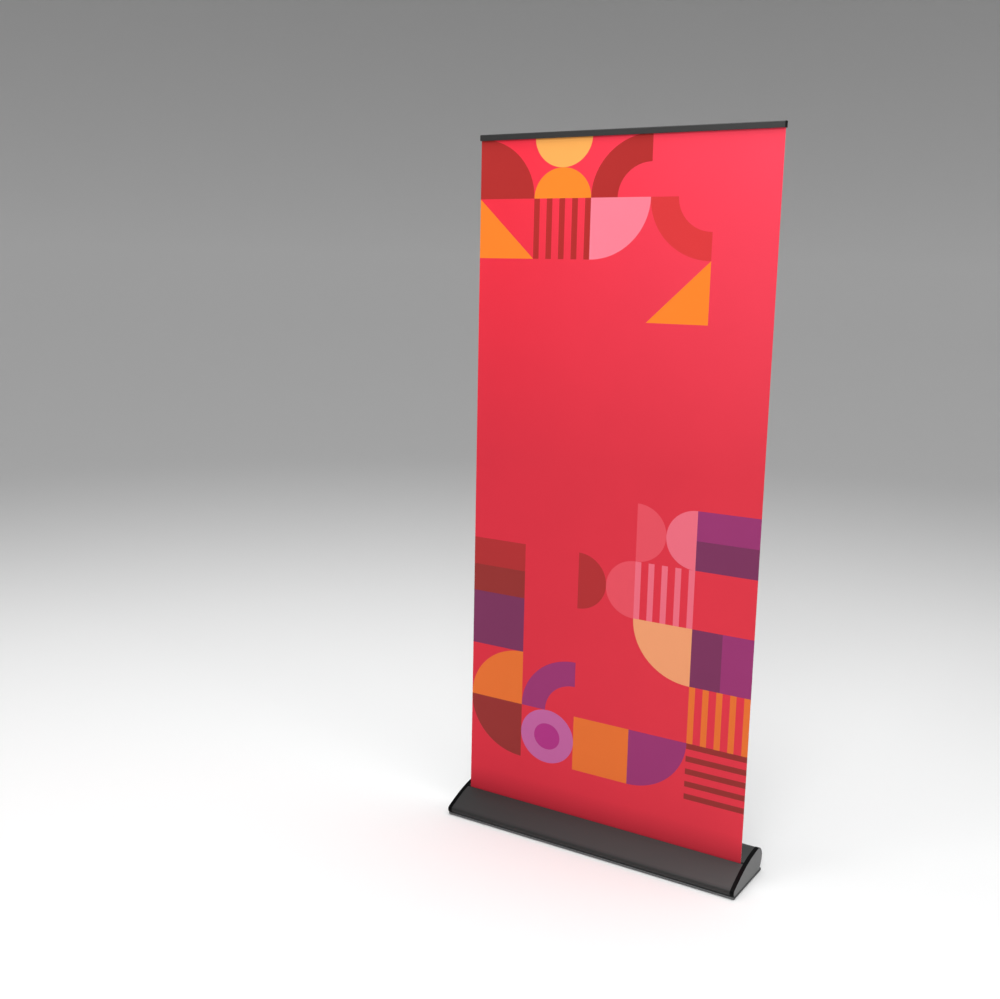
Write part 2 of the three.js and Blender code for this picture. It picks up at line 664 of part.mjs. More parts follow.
function topRail() {
  const profileX = [-PROFILE_HALF, PROFILE_HALF];
  const over = [-PROFILE_HALF - SAFE, PROFILE_HALF + SAFE];
  const profileFrontY = RAIL_BACK_Y - JAW_DEPTH;
  const hollowY = [profileFrontY + RAIL_WALL, RAIL_BACK_Y - RAIL_WALL];
  const hollowZ = [RAIL_BOTTOM_Z + RAIL_WALL, HEIGHT - RAIL_WALL];
  const outer = block(profileX, [profileFrontY, RAIL_BACK_Y], [RAIL_BOTTOM_Z, HEIGHT]);
  const hollow = block(over, hollowY, hollowZ);
  const holeY = [RAIL_BACK_Y - 2 * RAIL_WALL, RAIL_BACK_Y + SAFE];
  const screwHoles = [-CLIP_SCREW_X, CLIP_SCREW_X].map((x) => clipScrewHole(x, holeY));
  node("rail_back", cut(outer, hollow, ...screwHoles), "rail");

  const section = new THREE.Shape();
  section.moveTo(RAIL_FRONT_Y, RAIL_BOTTOM_Z);
  section.lineTo(JAW_BACK_Y, RAIL_BOTTOM_Z);
  section.lineTo(JAW_BACK_Y, JAW_Z);
  section.absarc(JAW_Y, JAW_Z, JAW_R, 0, Math.PI);
  section.lineTo(RAIL_FRONT_Y, RAIL_BOTTOM_Z);
  const jawAxis = [0, JAW_Y, JAW_Z];
  const grooveZ = [RAIL_BOTTOM_Z + 1.5, RAIL_BOTTOM_Z + 1.5 + GRIP_HEIGHT];
  const groove = block(over, [JAW_BACK_Y - GRIP_DEPTH, JAW_BACK_Y + SAFE], grooveZ);
  const pinHole = rod("x", JAW_PIN_R + GAP, over, jawAxis, SCREW_ROUND);
  node("rail_jaw", cut(alongX(section, profileX), pinHole, groove), "rail");

  const gripX = [-GRAPHIC_WIDTH / 2 + 2, GRAPHIC_WIDTH / 2 - 2];
  const gripY = [JAW_BACK_Y - GRIP_DEPTH + GAP, JAW_BACK_Y + 0.1];
  node("jaw_grip_strip", block(gripX, gripY, [grooveZ[0] + GAP, grooveZ[1] - GAP]), "rubber");

  // An end plate on each side, with a tab into the profile and the jaw's pin
  const end = new THREE.Shape();
  end.moveTo(RAIL_FRONT_Y, RAIL_BOTTOM_Z);
  end.lineTo(RAIL_BACK_Y, RAIL_BOTTOM_Z);
  end.lineTo(RAIL_BACK_Y, HEIGHT);
  end.lineTo(JAW_Y, HEIGHT);
  end.absarc(JAW_Y, JAW_Z, JAW_R, Math.PI / 2, Math.PI);
  end.lineTo(RAIL_FRONT_Y, RAIL_BOTTOM_Z);
  for (const side of [-1, 1]) {
    const plateX = outwards(side, RAIL_HALF_LENGTH - RAIL_END, RAIL_HALF_LENGTH);
    const innerX = outwards(side, PROFILE_HALF - JAW_PIN_REACH, RAIL_HALF_LENGTH - RAIL_END / 2);
    const pin = rod("x", JAW_PIN_R, innerX, jawAxis, SCREW_ROUND);
    const tabY = [hollowY[0] + GAP, hollowY[1] - GAP];
    const tab = block(innerX, tabY, [hollowZ[0] + GAP, hollowZ[1] - GAP]);
    const word = side < 0 ? "left" : "right";
    node(`rail_end_${word}`, join(alongX(end, plateX), pin, tab), "blackPlastic");
  }
}

function clipScrewHole(x, spanY) {
  return rod("y", CLIP_SCREW_R + GAP, spanY, [x, 0, CLAMP_Z], SCREW_ROUND);
}

function poleClip() {
  const clipZ = [CLIP_BOTTOM_Z, CLIP_TOP_Z];
  const overZ = [CLIP_BOTTOM_Z - SAFE, CLIP_TOP_Z + SAFE];
  const bracketY = [RAIL_BACK_Y + GAP, RAIL_BACK_Y + GAP + BRACKET_THICKNESS];
  const earEnd = CLAMP_Y + EAR_HALF;
  const bracket = block([-BRACKET_HALF, BRACKET_HALF], bracketY, clipZ);
  const [rootY, waistY, tipY] = [RAIL_BACK_Y + 2, RAIL_BACK_Y + 8, POLE_Y - COLLAR_R / 2];
  const arm = new THREE.Shape();
  arm.moveTo(-ARM_ROOT_HALF, rootY);
  arm.lineTo(ARM_ROOT_HALF, rootY);
  arm.quadraticCurveTo(ARM_HALF, waistY, ARM_HALF, tipY);
  arm.lineTo(-ARM_HALF, tipY);
  arm.quadraticCurveTo(-ARM_HALF, waistY, -ARM_ROOT_HALF, rootY);
  const collar = rod("z", COLLAR_R, clipZ, POLE_AXIS, FINE_ROUND);
  const ears = block([-EAR_HALF, EAR_HALF], [POLE_Y + COLLAR_R - 3, earEnd], clipZ);
  const clip = join(bracket, alongZ(arm, clipZ), collar, ears);

  const clampAxis = [0, CLAMP_Y, CLAMP_Z];
  const bore = rod("z", POLE_R + POLE_FIT, overZ, POLE_AXIS, FINE_ROUND);
  const slit = block([-SLIT_HALF, SLIT_HALF], [POLE_Y, earEnd + SAFE], overZ);
  const boltHole = rod("x", SCREW_HOLE_R, [-EAR_HALF - SAFE, EAR_HALF + SAFE], clampAxis, SCREW_ROUND);
  const screwHoleY = [bracketY[0] - SAFE, bracketY[1] + SAFE];
  const screwHoles = [-CLIP_SCREW_X, CLIP_SCREW_X].map((x) => clipScrewHole(x, screwHoleY));
  node("pole_clip", cut(clip, bore, slit, boltHole, ...screwHoles), "blackPlastic");

  const headY = bracketY[1] + GAP;
  const screw = [
    [0, RAIL_BACK_Y - 4.5],
    [CLIP_SCREW_R, RAIL_BACK_Y - 4.5],
    [CLIP_SCREW_R, headY],
    [CLIP_SCREW_HEAD_R, headY],
    [CLIP_SCREW_HEAD_R - 0.4, headY + 1.8],
    [0, headY + 2.2],
  ];
  for (const [i, x] of [-CLIP_SCREW_X, CLIP_SCREW_X].entries()) {
    node(`clip_screw_${i + 1}`, turned(screw, "y", [x, 0, CLAMP_Z], SCREW_ROUND), "steel");
  }
}

// The collar's clamp: a bolt through both ears, which ends in an eye between the lever's two cheeks
function clamp() {
  const hub = [LEVER_X, CLAMP_Y, 0];
  const clampAxis = [0, CLAMP_Y, CLAMP_Z];
  const pinHoleR = LEVER_PIN_R + GAP;
  const eyeZ = [CLAMP_Z - EYE_HALF_HEIGHT, CLAMP_Z + EYE_HALF_HEIGHT];
  const forkZ = [eyeZ[0] - GAP, eyeZ[1] + GAP];
  const leverZ = [CLIP_BOTTOM_Z + 0.8, CLIP_TOP_Z - 0.8];
  const overZ = [CLIP_BOTTOM_Z - SAFE, CLIP_TOP_Z + SAFE];
  const nutX = [-EAR_HALF - GAP - NUT_THICKNESS, -EAR_HALF - GAP];
  const eye = rod("z", EYE_R, eyeZ, hub);
  const shank = rod("x", SCREW_R, [nutX[0] - 1.5, LEVER_X - 2], clampAxis, SCREW_ROUND);
  const eyeHole = rod("z", pinHoleR, overZ, hub, SCREW_ROUND);
  node("clamp_bolt", cut(join(eye, shank), eyeHole), "steel");
  node("clamp_nut", sleeve("x", [SCREW_HOLE_R, NUT_R], nutX, clampAxis, 6), "steel");
  node("lever_pin", rod("z", LEVER_PIN_R, [leverZ[0] - 0.2, leverZ[1] + 0.2], hub, SCREW_ROUND), "steel");

  // The lever runs from its hub round the collar and along the pole's side, to a finger tip
  const lever = new THREE.Shape();
  lever.moveTo(LEVER_X + 1, CLAMP_Y - 4);
  lever.quadraticCurveTo(LEVER_IN_X, POLE_Y + 10, LEVER_IN_X, POLE_Y + 2);
  lever.lineTo(LEVER_IN_X, POLE_Y - 14);
  lever.lineTo(LEVER_OUT_X - 1, POLE_Y - 16);
  lever.lineTo(LEVER_OUT_X, POLE_Y - 12);
  lever.lineTo(LEVER_OUT_X, POLE_Y + 4);
  lever.quadraticCurveTo(LEVER_OUT_X, CLAMP_Y - 3, LEVER_X + 4, CLAMP_Y);
  const cheeks = rod("z", LEVER_HUB_R, leverZ, hub);
  const fork = rod("z", LEVER_HUB_R + 1.6, forkZ, hub);
  const pinHole = rod("z", pinHoleR, overZ, hub, SCREW_ROUND);
  node("clip_lever", cut(join(alongZ(lever, leverZ), cheeks), fork, pinHole), "blackPlastic");
}

basePlate();
footPads();
rivets();
casingShells();
baseEnd(-1);
baseEnd(1);
roller();
graphic();
poleSocket();
pole();
topRail();
poleClip();
clamp();

export default banner;
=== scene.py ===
"""Roll-up banner stand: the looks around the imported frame. Metres, +Z up, +Y to the back."""
import json
import math

import bmesh
import bpy
from mathutils import Matrix, Vector, noise


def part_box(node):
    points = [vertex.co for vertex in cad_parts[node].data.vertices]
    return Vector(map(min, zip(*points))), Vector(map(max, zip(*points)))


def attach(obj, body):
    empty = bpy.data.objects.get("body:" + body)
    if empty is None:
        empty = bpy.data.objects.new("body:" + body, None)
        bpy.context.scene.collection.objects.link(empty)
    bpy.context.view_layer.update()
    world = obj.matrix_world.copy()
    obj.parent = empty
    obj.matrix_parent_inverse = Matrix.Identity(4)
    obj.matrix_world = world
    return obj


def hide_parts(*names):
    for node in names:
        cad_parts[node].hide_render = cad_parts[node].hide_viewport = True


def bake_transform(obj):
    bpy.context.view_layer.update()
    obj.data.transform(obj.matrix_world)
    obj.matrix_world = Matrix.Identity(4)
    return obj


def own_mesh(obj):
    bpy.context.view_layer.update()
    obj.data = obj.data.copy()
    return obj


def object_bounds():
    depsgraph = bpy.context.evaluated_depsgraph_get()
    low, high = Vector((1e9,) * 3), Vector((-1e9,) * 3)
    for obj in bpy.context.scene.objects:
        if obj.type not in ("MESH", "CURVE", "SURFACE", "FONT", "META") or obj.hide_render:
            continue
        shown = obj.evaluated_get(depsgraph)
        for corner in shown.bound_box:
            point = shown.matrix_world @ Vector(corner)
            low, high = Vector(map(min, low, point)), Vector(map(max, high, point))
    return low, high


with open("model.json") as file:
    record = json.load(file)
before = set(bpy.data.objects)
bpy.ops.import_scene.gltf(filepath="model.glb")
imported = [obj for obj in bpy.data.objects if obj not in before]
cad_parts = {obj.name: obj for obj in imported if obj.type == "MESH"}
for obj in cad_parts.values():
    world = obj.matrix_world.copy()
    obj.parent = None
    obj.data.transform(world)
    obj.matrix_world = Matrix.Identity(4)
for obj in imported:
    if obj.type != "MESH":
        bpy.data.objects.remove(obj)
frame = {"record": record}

cad_low, cad_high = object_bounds()

MM = 0.001
GAP = 0.3 * MM


# ---- Camera

CAMERA_PLACE = Vector((1.5491, -3.0800, 1.6923))
CAMERA_HEADING = 0.5585  # to the left of +Y
CAMERA_PITCH = -0.1856
CAMERA_ROLL = -0.0209
CAMERA_LENS = 43.743
CAMERA_SENSOR = 36


def make_camera():
    data = bpy.data.cameras.new("camera")
    data.lens = CAMERA_LENS
    data.sensor_width = CAMERA_SENSOR
    data.clip_end = 100
    camera = bpy.data.objects.new("camera", data)
    turn = (
        Matrix.Rotation(CAMERA_HEADING, 4, "Z")
        @ Matrix.Rotation(CAMERA_PITCH, 4, "X")
        @ Matrix.Rotation(CAMERA_ROLL, 4, "Y")
        @ Matrix.Rotation(math.pi / 2, 4, "X")
    )
    camera.matrix_world = Matrix.Translation(CAMERA_PLACE) @ turn
    bpy.context.scene.collection.objects.link(camera)
    bpy.context.scene.camera = camera


make_camera()


# ---- Material nodes

def linear(r, g, b):
    """A colour given as sRGB values from 0 to 255, as shader nodes take it."""
    channels = [v / 255 for v in (r, g, b)]
    return (*[v / 12.92 if v <= 0.04045 else ((v + 0.055) / 1.055) ** 2.4 for v in channels], 1)


def tinted(colour, share, lift=0.0):
    """colour times share, plus lift."""
    return (*[c * share + lift for c in colour[:3]], 1)


class Nodes:
    """A material's node tree, with a short call for each kind of node used here."""

    def __init__(self, name):
        self.material = bpy.data.materials.new(name)
        self.material.use_nodes = True
        self.tree = self.material.node_tree
        self.shader = self.tree.nodes["Principled BSDF"]
        coordinates = self.node("TexCoord", {})
        self.place = coordinates["Object"]
        self.facing = coordinates["Normal"]

    def put(self, socket, value):
        if isinstance(value, bpy.types.NodeSocket):
            self.tree.links.new(value, socket)
        else:
            socket.default_value = value

    def node(self, kind, inputs, **settings):
        """The outputs of a new node with these inputs, by name or number, and these settings."""
        node = self.tree.nodes.new("ShaderNode" + kind)
        for name, value in settings.items():
            setattr(node, name, value)
        for name, value in inputs.items():
            self.put(node.inputs[name], value)
        return node.outputs

    def math(self, operation, a, b=0.0, c=0.0):
        return self.node("Math", {0: a, 1: b, 2: c}, operation=operation)[0]

    def xyz(self, vector):
        """The three parts of a vector."""
        return self.node("SeparateXYZ", {0: vector})

    def scaled(self, factors):
        return self.node("VectorMath", {0: self.place, 1: factors}, operation="MULTIPLY")[0]

    def noise(self, scale, place=None, detail=3.0, roughness=0.55):
        inputs = {"Vector": place or self.place, "Scale": scale, "Detail": detail, "Roughness": roughness}
        return self.node("TexNoise", inputs)["Fac"]

    def voronoi(self, scale):
        return self.node("TexVoronoi", {"Vector": self.place, "Scale": scale})["Distance"]

    def spread(self, value, low, high, start=0.3, end=0.7):
        """value, taken from start..end to low..high."""
        inputs = {"Value": value, "From Min": start, "From Max": end, "To Min": low, "To Max": high}
        return self.node("MapRange", inputs)["Result"]

    def mix(self, share, a, b, blend="MIX"):
        return self.node("Mix", {0: share, 6: a, 7: b}, data_type="RGBA", blend_type=blend)[2]

    def shades(self, colour, value, depth):
        """colour, darker where value is low and lighter where it is high, by the share depth."""
        light = tuple(min(1, c) for c in tinted(colour, 1 + depth))
        return self.mix(self.spread(value, 0, 1), tinted(colour, 1 - depth), light)

    def dimmed(self, colour, share):
        """colour, times share."""
        grey = self.node("CombineXYZ", {0: share, 1: share, 2: share})[0]
        return self.mix(1, colour, grey, "MULTIPLY")

    def bump(self, height, strength, distance, normal=None):
        inputs = {"Strength": strength, "Distance": distance, "Height": height}
        if normal:
            inputs["Normal"] = normal
        return self.node("Bump", inputs)["Normal"]

    def set(self, **inputs):
        """Sets the shader's inputs: Base_Color=..., Roughness=... and so on."""
        for name, value in inputs.items():
            self.put(self.shader.inputs[name.replace("_", " ")], value)
        return self.material


# ---- Materials

# Painted shade darkens the casing's toe below this height
TOE_Z = 0.028  # the casing's toe is below this height
ALONG_X = (0.6, 260, 260)  # a grain stretched along the extrusion
ALONG_Z = (260, 260, 0.6)
ROUND_X = (260, 14, 14)


def extruded_metal(name, colour, grain, roughness, metallic=1.0, depth=0.07, painted_light_run=0.0, toe=1.0):
    """Anodised or mill-finish extrusion: die lines along its length over a fine etched grain.
    Painted light makes its colour lighter along X by the given share each way, and painted shade below
    TOE_Z holds it to the share toe."""
    n = Nodes(name)
    lines = n.noise(2.2, n.scaled(grain), detail=5, roughness=0.7)
    etch = n.noise(2600, detail=2)
    handling = n.noise(5.5, detail=4)
    base = n.shades(colour, lines, depth)
    base = n.mix(n.spread(handling, 0, 0.22), base, tinted(colour, 0.82))
    # painted light: the colour gets lighter towards +X and darker towards -X
    if painted_light_run:
        base = n.dimmed(base, n.spread(n.xyz(n.place)["X"], 1 - painted_light_run, 1 + painted_light_run, cad_low.x, cad_high.x))
    # painted shade on the toe: darker below TOE_Z
    if toe < 1:
        base = n.dimmed(base, n.spread(n.xyz(n.place)["Z"], toe, 1, TOE_Z - 0.003, TOE_Z + 0.003))
    along = n.spread(lines, roughness - 0.05, roughness + 0.06)
    rough = n.math("ADD", along, n.spread(handling, -0.03, 0.05))
    normal = n.bump(lines, 0.14, 0.00012)
    normal = n.bump(etch, 0.08, 0.00006, normal)
    return n.set(Base_Color=base, Metallic=metallic, Roughness=rough, Normal=normal)


def powder_coat(name, colour, ends=1.0):
    """Powder coat: low orange peel, with a fine dark fleck. Painted shade holds the faces that look along X
    to the share ends of it.
    """
    n = Nodes(name)
    peel = n.noise(420, detail=2)
    fleck = n.spread(n.voronoi(1500), 1, 0, 0.08, 0.16)
    wear = n.noise(9, detail=5)
    base = n.shades(colour, wear, 0.06)
    base = n.mix(n.math("MULTIPLY", fleck, 0.35), base, tinted(colour, 0.4))
    # painted shade on the plate's end faces, the faces that look along X
    sideways = n.math("ABSOLUTE", n.xyz(n.facing)["X"])
    base = n.dimmed(base, n.spread(sideways, 1, ends, 0.6, 0.85))
    rough = n.spread(wear, 0.42, 0.54)
    normal = n.bump(peel, 0.16, 0.00025)
    return n.set(Base_Color=base, Metallic=0.35, Roughness=rough, Normal=normal)


def moulded(name, colour, roughness, texture, depth=0.08, specular=0.5):
    """Moulded plastic: a spark-eroded grain as deep as texture, flow shading and fine rub marks."""
    n = Nodes(name)
    grain = n.voronoi(1900)
    flow = n.noise(14, detail=3)
    rubs = n.noise(3, n.scaled((40, 90, 160)), detail=6, roughness=0.75)
    base = n.shades(colour, flow, depth)
    base = n.mix(n.spread(rubs, 0, 0.16, 0.52, 0.72), base, tinted(colour, 1.5, 0.005))
    rough = n.math("ADD", n.spread(rubs, roughness - 0.02, roughness + 0.09), n.spread(flow, -0.02, 0.02))
    normal = n.bump(grain, texture, 0.00008)
    return n.set(Base_Color=base, Roughness=rough, Normal=normal, Specular_IOR_Level=specular)


def plated_steel(name, colour, grain):
    """Zinc-plated steel: turning marks, with patches of a yellower passivation."""
    n = Nodes(name)
    marks = n.noise(2.5, n.scaled(grain), detail=4, roughness=0.7)
    patches = n.noise(55, detail=3)
    base = n.mix(n.spread(patches, 0, 0.3), n.shades(colour, marks, 0.12), linear(190, 182, 160))
    rough = n.spread(marks, 0.22, 0.4)
    normal = n.bump(marks, 0.18, 0.00008)
    return n.set(Base_Color=base, Metallic=1.0, Roughness=rough, Normal=normal)


def rubbery(name, colour):
    """Rubber: a matt skin with fine pores and a grey bloom."""
    n = Nodes(name)
    pores = n.voronoi(900)
    bloom = n.noise(35, detail=4)
    base = n.mix(n.spread(bloom, 0, 0.4), colour, linear(62, 60, 58))
    normal = n.bump(pores, 0.3, 0.0002)
    return n.set(Base_Color=base, Roughness=n.spread(bloom, 0.75, 0.92), Normal=normal)


def pile(name, colour):
    """Pile strip: short upright fibres."""
    n = Nodes(name)
    fibres = n.noise(6, n.scaled((420, 420, 40)), detail=4, roughness=0.8)
    base = n.shades(colour, fibres, 0.45)
    normal = n.bump(fibres, 0.8, 0.0004)
    return n.set(Base_Color=base, Roughness=0.95, Normal=normal, Sheen_Weight=0.4, Sheen_Roughness=0.5)


def braided(name, colour, fleck_colour, radius):
    """A cord's braided cover: two sets of strands that cross, with a lighter tracer."""
    n = Nodes(name)
    place = n.xyz(n.place)
    angle = n.math("ARCTAN2", n.math("SUBTRACT", place["Y"], POLE_Y), place["X"])
    strands = 8
    pitch = 8 * radius
    turns = n.math("MULTIPLY", place["Z"], 2 * math.pi / pitch * strands / 2)
    around = n.math("MULTIPLY", angle, strands)
    right = n.math("SINE", n.math("ADD", around, turns))
    left = n.math("SINE", n.math("SUBTRACT", around, turns))
    weave = n.math("MAXIMUM", right, left)
    tracer = n.spread(n.math("SINE", n.math("ADD", angle, turns)), 0, 1, 0.7, 0.8)
    base = n.mix(n.math("MULTIPLY", tracer, 0.8), n.shades(colour, weave, 0.4), fleck_colour)
    normal = n.bump(weave, 0.6, 0.0003)
    return n.set(Base_Color=base, Roughness=0.85, Normal=normal)


POLE_Y = (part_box("pole_lower")[0].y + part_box("pole_lower")[1].y) / 2


# ---- The print: plain geometric tiles on a red ground

GRAPHIC_LOW, GRAPHIC_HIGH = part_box("banner_sheet")
# The film has painted shade just above the slot that it is drawn through
SLOT_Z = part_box("slot_felt_front")[1].z
SLOT_SHADE = 0.74
SLOT_SHADE_HEIGHT = 80 * MM
TILE_WIDTH = (GRAPHIC_HIGH.x - GRAPHIC_LOW.x) / 5
TILE_HEIGHT = 168.6 * MM
FIRST_ROW_Z = 2067 * MM
RING_BORE = 0.55
STRIPE_PITCH = 0.225
STRIPE_WIDTH = 0.1

# The ground is one red, with painted light that makes it a little lighter towards the top and the right
PAINTED_LIGHT_RED_TOP = (linear(250, 54, 73), linear(255, 73, 95))
PAINTED_LIGHT_RED_BOTTOM = (linear(218, 52, 68), linear(224, 58, 73))
PAINTED_LIGHT_UP = (1.15, 2.0)  # heights between which the bottom's red turns into the top's
PAINTED_LIGHT_ACROSS = (0.5, 4.8)  # the same from left to right, in tiles
INKS = {
    "maroon": linear(182, 50, 48),
    "faint_maroon": linear(222, 60, 62),
    "deep_maroon": linear(178, 52, 54),
    "brown": linear(150, 54, 52),
    "light_orange": linear(255, 178, 92),
    "orange": linear(255, 140, 46),
    "bright_orange": linear(255, 135, 46),
    "low_orange": linear(232, 116, 54),
    "peach": linear(240, 160, 114),
    "pink": linear(255, 132, 152),
    "low_pink": linear(238, 112, 130),
    "pale_pink": linear(232, 84, 98),
    "lilac": linear(194, 102, 160),
    "magenta": linear(176, 56, 132),
    "purple": linear(154, 58, 114),
    "dark_purple": linear(124, 56, 94),
}

# Ink, limits in tiles (left, right, top, bottom), and the form inside them, if they aren't filled
PRINT = [
    ("maroon", (0, 1, 0, 1), "disc", 0, 1, 1),
    ("light_orange", (1, 2, 0, 0.5), "disc", 1.5, 0, 0.5),
    ("orange", (1, 2, 0.5, 1), "disc", 1.5, 1, 0.5),
    ("maroon", (2, 3, 0, 1), "ring", 3, 1),
    ("bright_orange", (0, 1, 1, 2), "beyond", -1, 1, 1),
    ("maroon", (1, 2, 1, 2), "upright", 1),
    ("pink", (2, 3, 1, 2), "disc", 2, 1, 1),
    ("faint_maroon", (3, 4, 1, 2), "ring", 4, 1),
    ("bright_orange", (3, 4, 2, 3), "beyond", 1, 1, 6),
    ("pale_pink", (3, 3.5, 6, 7), "disc", 3, 6.5, 0.5),
    ("low_pink", (3.5, 4, 6, 7), "disc", 4, 6.5, 0.5),
    ("purple", (4, 5, 6, 6.5)),
    ("dark_purple", (4, 5, 6.5, 7)),
    ("deep_maroon", (0, 1, 7, 7.5)),
    ("brown", (0, 1, 7.5, 8)),
    ("deep_maroon", (2, 2.5, 7, 8), "disc", 2, 7.5, 0.5),
    ("pale_pink", (2.5, 3, 7, 8), "disc", 3, 7.5, 0.5),
    ("low_pink", (3, 4, 7, 8), "upright", 3),
    ("dark_purple", (0, 1, 8, 9)),
    ("peach", (3, 4, 8, 9), "disc", 4, 8, 1),
    ("dark_purple", (4, 4.5, 8, 9)),
    ("purple", (4.5, 5, 8, 9)),
    ("low_orange", (0, 1, 9, 10), "disc", 1, 10, 1),
    ("purple", (1, 2, 9, 10), "ring", 2, 10),
    ("low_orange", (4, 5, 9, 10), "upright", 4),
    ("brown", (0, 1, 10, 11), "disc", 1, 10, 1),
    ("lilac", (1, 2, 10, 11), "disc", 1.5, 10.5, 0.5),
    ("magenta", (1, 2, 10, 11), "disc", 1.5, 10.5, 0.245),
    ("low_orange", (2, 3, 10, 11)),
    ("purple", (3, 4, 10, 11), "disc", 3, 10, 1),
    ("brown", (4, 5, 10, 11), "level", 10),
]


def printed_film():
    """The graphic's front: the print on a satin film."""
    n = Nodes("printed_film")
    place = n.xyz(n.place)
    across = n.math("DIVIDE", n.math("SUBTRACT", place["X"], GRAPHIC_LOW.x), TILE_WIDTH)
    down = n.math("DIVIDE", n.math("SUBTRACT", FIRST_ROW_Z, place["Z"]), TILE_HEIGHT)
    tiles = n.node("CombineXYZ", {0: across, 1: down})[0]

    def disc(x, y, r):
        away = n.node("VectorMath", {0: tiles, 1: (x, y, 0)}, operation="DISTANCE")["Value"]
        return n.math("LESS_THAN", away, r)

    def stripes(along, start):
        step = n.math("FRACT", n.math("DIVIDE", n.math("SUBTRACT", along, start), STRIPE_PITCH))
        return n.math("LESS_THAN", step, STRIPE_WIDTH / STRIPE_PITCH)

    forms = {
        "disc": disc,
        "ring": lambda x, y: n.math("SUBTRACT", disc(x, y, 1), disc(x, y, RING_BORE)),
        "upright": lambda start: stripes(across, start),
        "level": lambda start: stripes(down, start),
        "beyond": lambda a, b, c: n.math(
            "GREATER_THAN", n.math("ADD", n.math("MULTIPLY", across, a), n.math("MULTIPLY", down, b)), c
        ),
    }
    # painted light on the red ground: lighter towards the top and the right
    side = n.spread(across, 0, 1, *PAINTED_LIGHT_ACROSS)
    height = n.spread(place["Z"], 0, 1, *PAINTED_LIGHT_UP)
    ground = n.mix(height, n.mix(side, *PAINTED_LIGHT_RED_BOTTOM), n.mix(side, *PAINTED_LIGHT_RED_TOP))
    for ink, (left, right, top, bottom), *form in PRINT:
        in_column = n.math("COMPARE", across, (left + right) / 2, (right - left) / 2)
        in_row = n.math("COMPARE", down, (top + bottom) / 2, (bottom - top) / 2)
        mask = n.math("MULTIPLY", in_column, in_row)
        if form:
            mask = n.math("MULTIPLY", mask, forms[form[0]](*form[1:]))
        ground = n.mix(mask, ground, INKS[ink])

    grain = n.noise(2400, detail=2)
    cloud = n.noise(4, detail=3)
    ground = n.mix(n.spread(grain, 0, 0.05), ground, (0.02, 0.01, 0.01, 1))
    ground = n.dimmed(ground, n.spread(cloud, 0.97, 1))
    # painted shade on the film just above the slot
    ground = n.dimmed(ground, n.spread(place["Z"], SLOT_SHADE, 1, SLOT_Z, SLOT_Z + SLOT_SHADE_HEIGHT))
    film = n.noise(900, detail=3)
    normal = n.bump(film, 0.05, 0.0001)
    rough = n.spread(film, 0.44, 0.54)
    return n.set(Base_Color=ground, Roughness=rough, Normal=normal, Specular_IOR_Level=0.05)


def film_back():
    """The graphic's back: a pale grey light-stop layer."""
    n = Nodes("film_back")
    mottle = n.noise(60, detail=5)
    rubs = n.noise(3, n.scaled((3, 3, 0.5)), detail=4)
    base = n.shades(linear(196, 197, 200), mottle, 0.03)
    base = n.mix(n.spread(rubs, 0, 0.12), base, linear(168, 169, 172))
    film = n.noise(1100, detail=3)
    normal = n.bump(film, 0.08, 0.0001)
    return n.set(Base_Color=base, Roughness=n.spread(film, 0.42, 0.52), Normal=normal)


CHARCOAL = linear(56, 56, 56)
# For each material's short name: the slot that it goes in, and the material
MATERIALS = {
    "casing": (
        "anodised_casing",
        extruded_metal("anodised_casing", CHARCOAL, ALONG_X, 0.5, 0.2, painted_light_run=0.33, toe=0.4),
    ),
    "rail": (
        "rail_profile",
        extruded_metal("anodised_rail", linear(50, 50, 50), ALONG_X, 0.46, 0.3, painted_light_run=0.36),
    ),
    "pole": (
        "bare_aluminium",
        extruded_metal("satin_pole", linear(208, 209, 211), ALONG_Z, 0.32, depth=0.05),
    ),
    "tube": (
        "bare_aluminium",
        extruded_metal("roller_aluminium", linear(205, 206, 208), ALONG_X, 0.34, depth=0.05),
    ),
    "plate": ("plate", powder_coat("powder_coated_plate", linear(104, 105, 106), ends=0.22)),
    "black": ("black_moulding", moulded("gloss_black", linear(4, 4, 5), 0.34, 0.04, specular=0.07)),
    "grey": ("grey_moulding", moulded("satin_grey", linear(95, 95, 95), 0.42, 0.12, depth=0.05)),
    "nylon": ("nylon", moulded("natural_nylon", linear(222, 220, 212), 0.45, 0.1, depth=0.04)),
    "steel_x": ("steel", plated_steel("zinc_steel_across", linear(176, 178, 180), ROUND_X)),
    "steel": ("steel", plated_steel("zinc_steel", linear(176, 178, 180), (220, 220, 40))),
    "rubber": ("rubber", rubbery("black_rubber", linear(30, 30, 31))),
    "felt": ("felt", pile("black_pile", linear(30, 30, 33))),
    "cord": ("cord", braided("braided_cord", linear(40, 40, 46), linear(150, 152, 158), 1.5 * MM)),
    "print": ("graphic", printed_film()),
    "film": ("graphic", film_back()),
}


# ---- Mesh tools

def mesh_object(name, bm):
    bmesh.ops.remove_doubles(bm, verts=bm.verts, dist=1e-7)
    bmesh.ops.recalc_face_normals(bm, faces=bm.faces)
    mesh = bpy.data.meshes.new(name)
    bm.to_mesh(mesh)
    bm.free()
    obj = bpy.data.objects.new(name, mesh)
    bpy.context.scene.collection.objects.link(obj)
    return obj


def bridged(bm, first, second):
    """Faces between two closed rings. Either may be a single point."""
    count = max(len(first), len(second))
    for k in range(count):
        j = (k + 1) % count
        corners = ((first, k), (first, j), (second, j), (second, k))
        bm.faces.new(list(dict.fromkeys(ring[i % len(ring)] for ring, i in corners)))


def solid(name, bm, rings):
    """The closed mesh through the rings, with a face at each end."""
    for first, second in zip(rings, rings[1:]):
        bridged(bm, first, second)
    bm.faces.new(rings[0][::-1])
    bm.faces.new(rings[-1])
    return mesh_object(name, bm)


def round_angles(sides):
    return [2 * math.pi * k / sides for k in range(sides)]


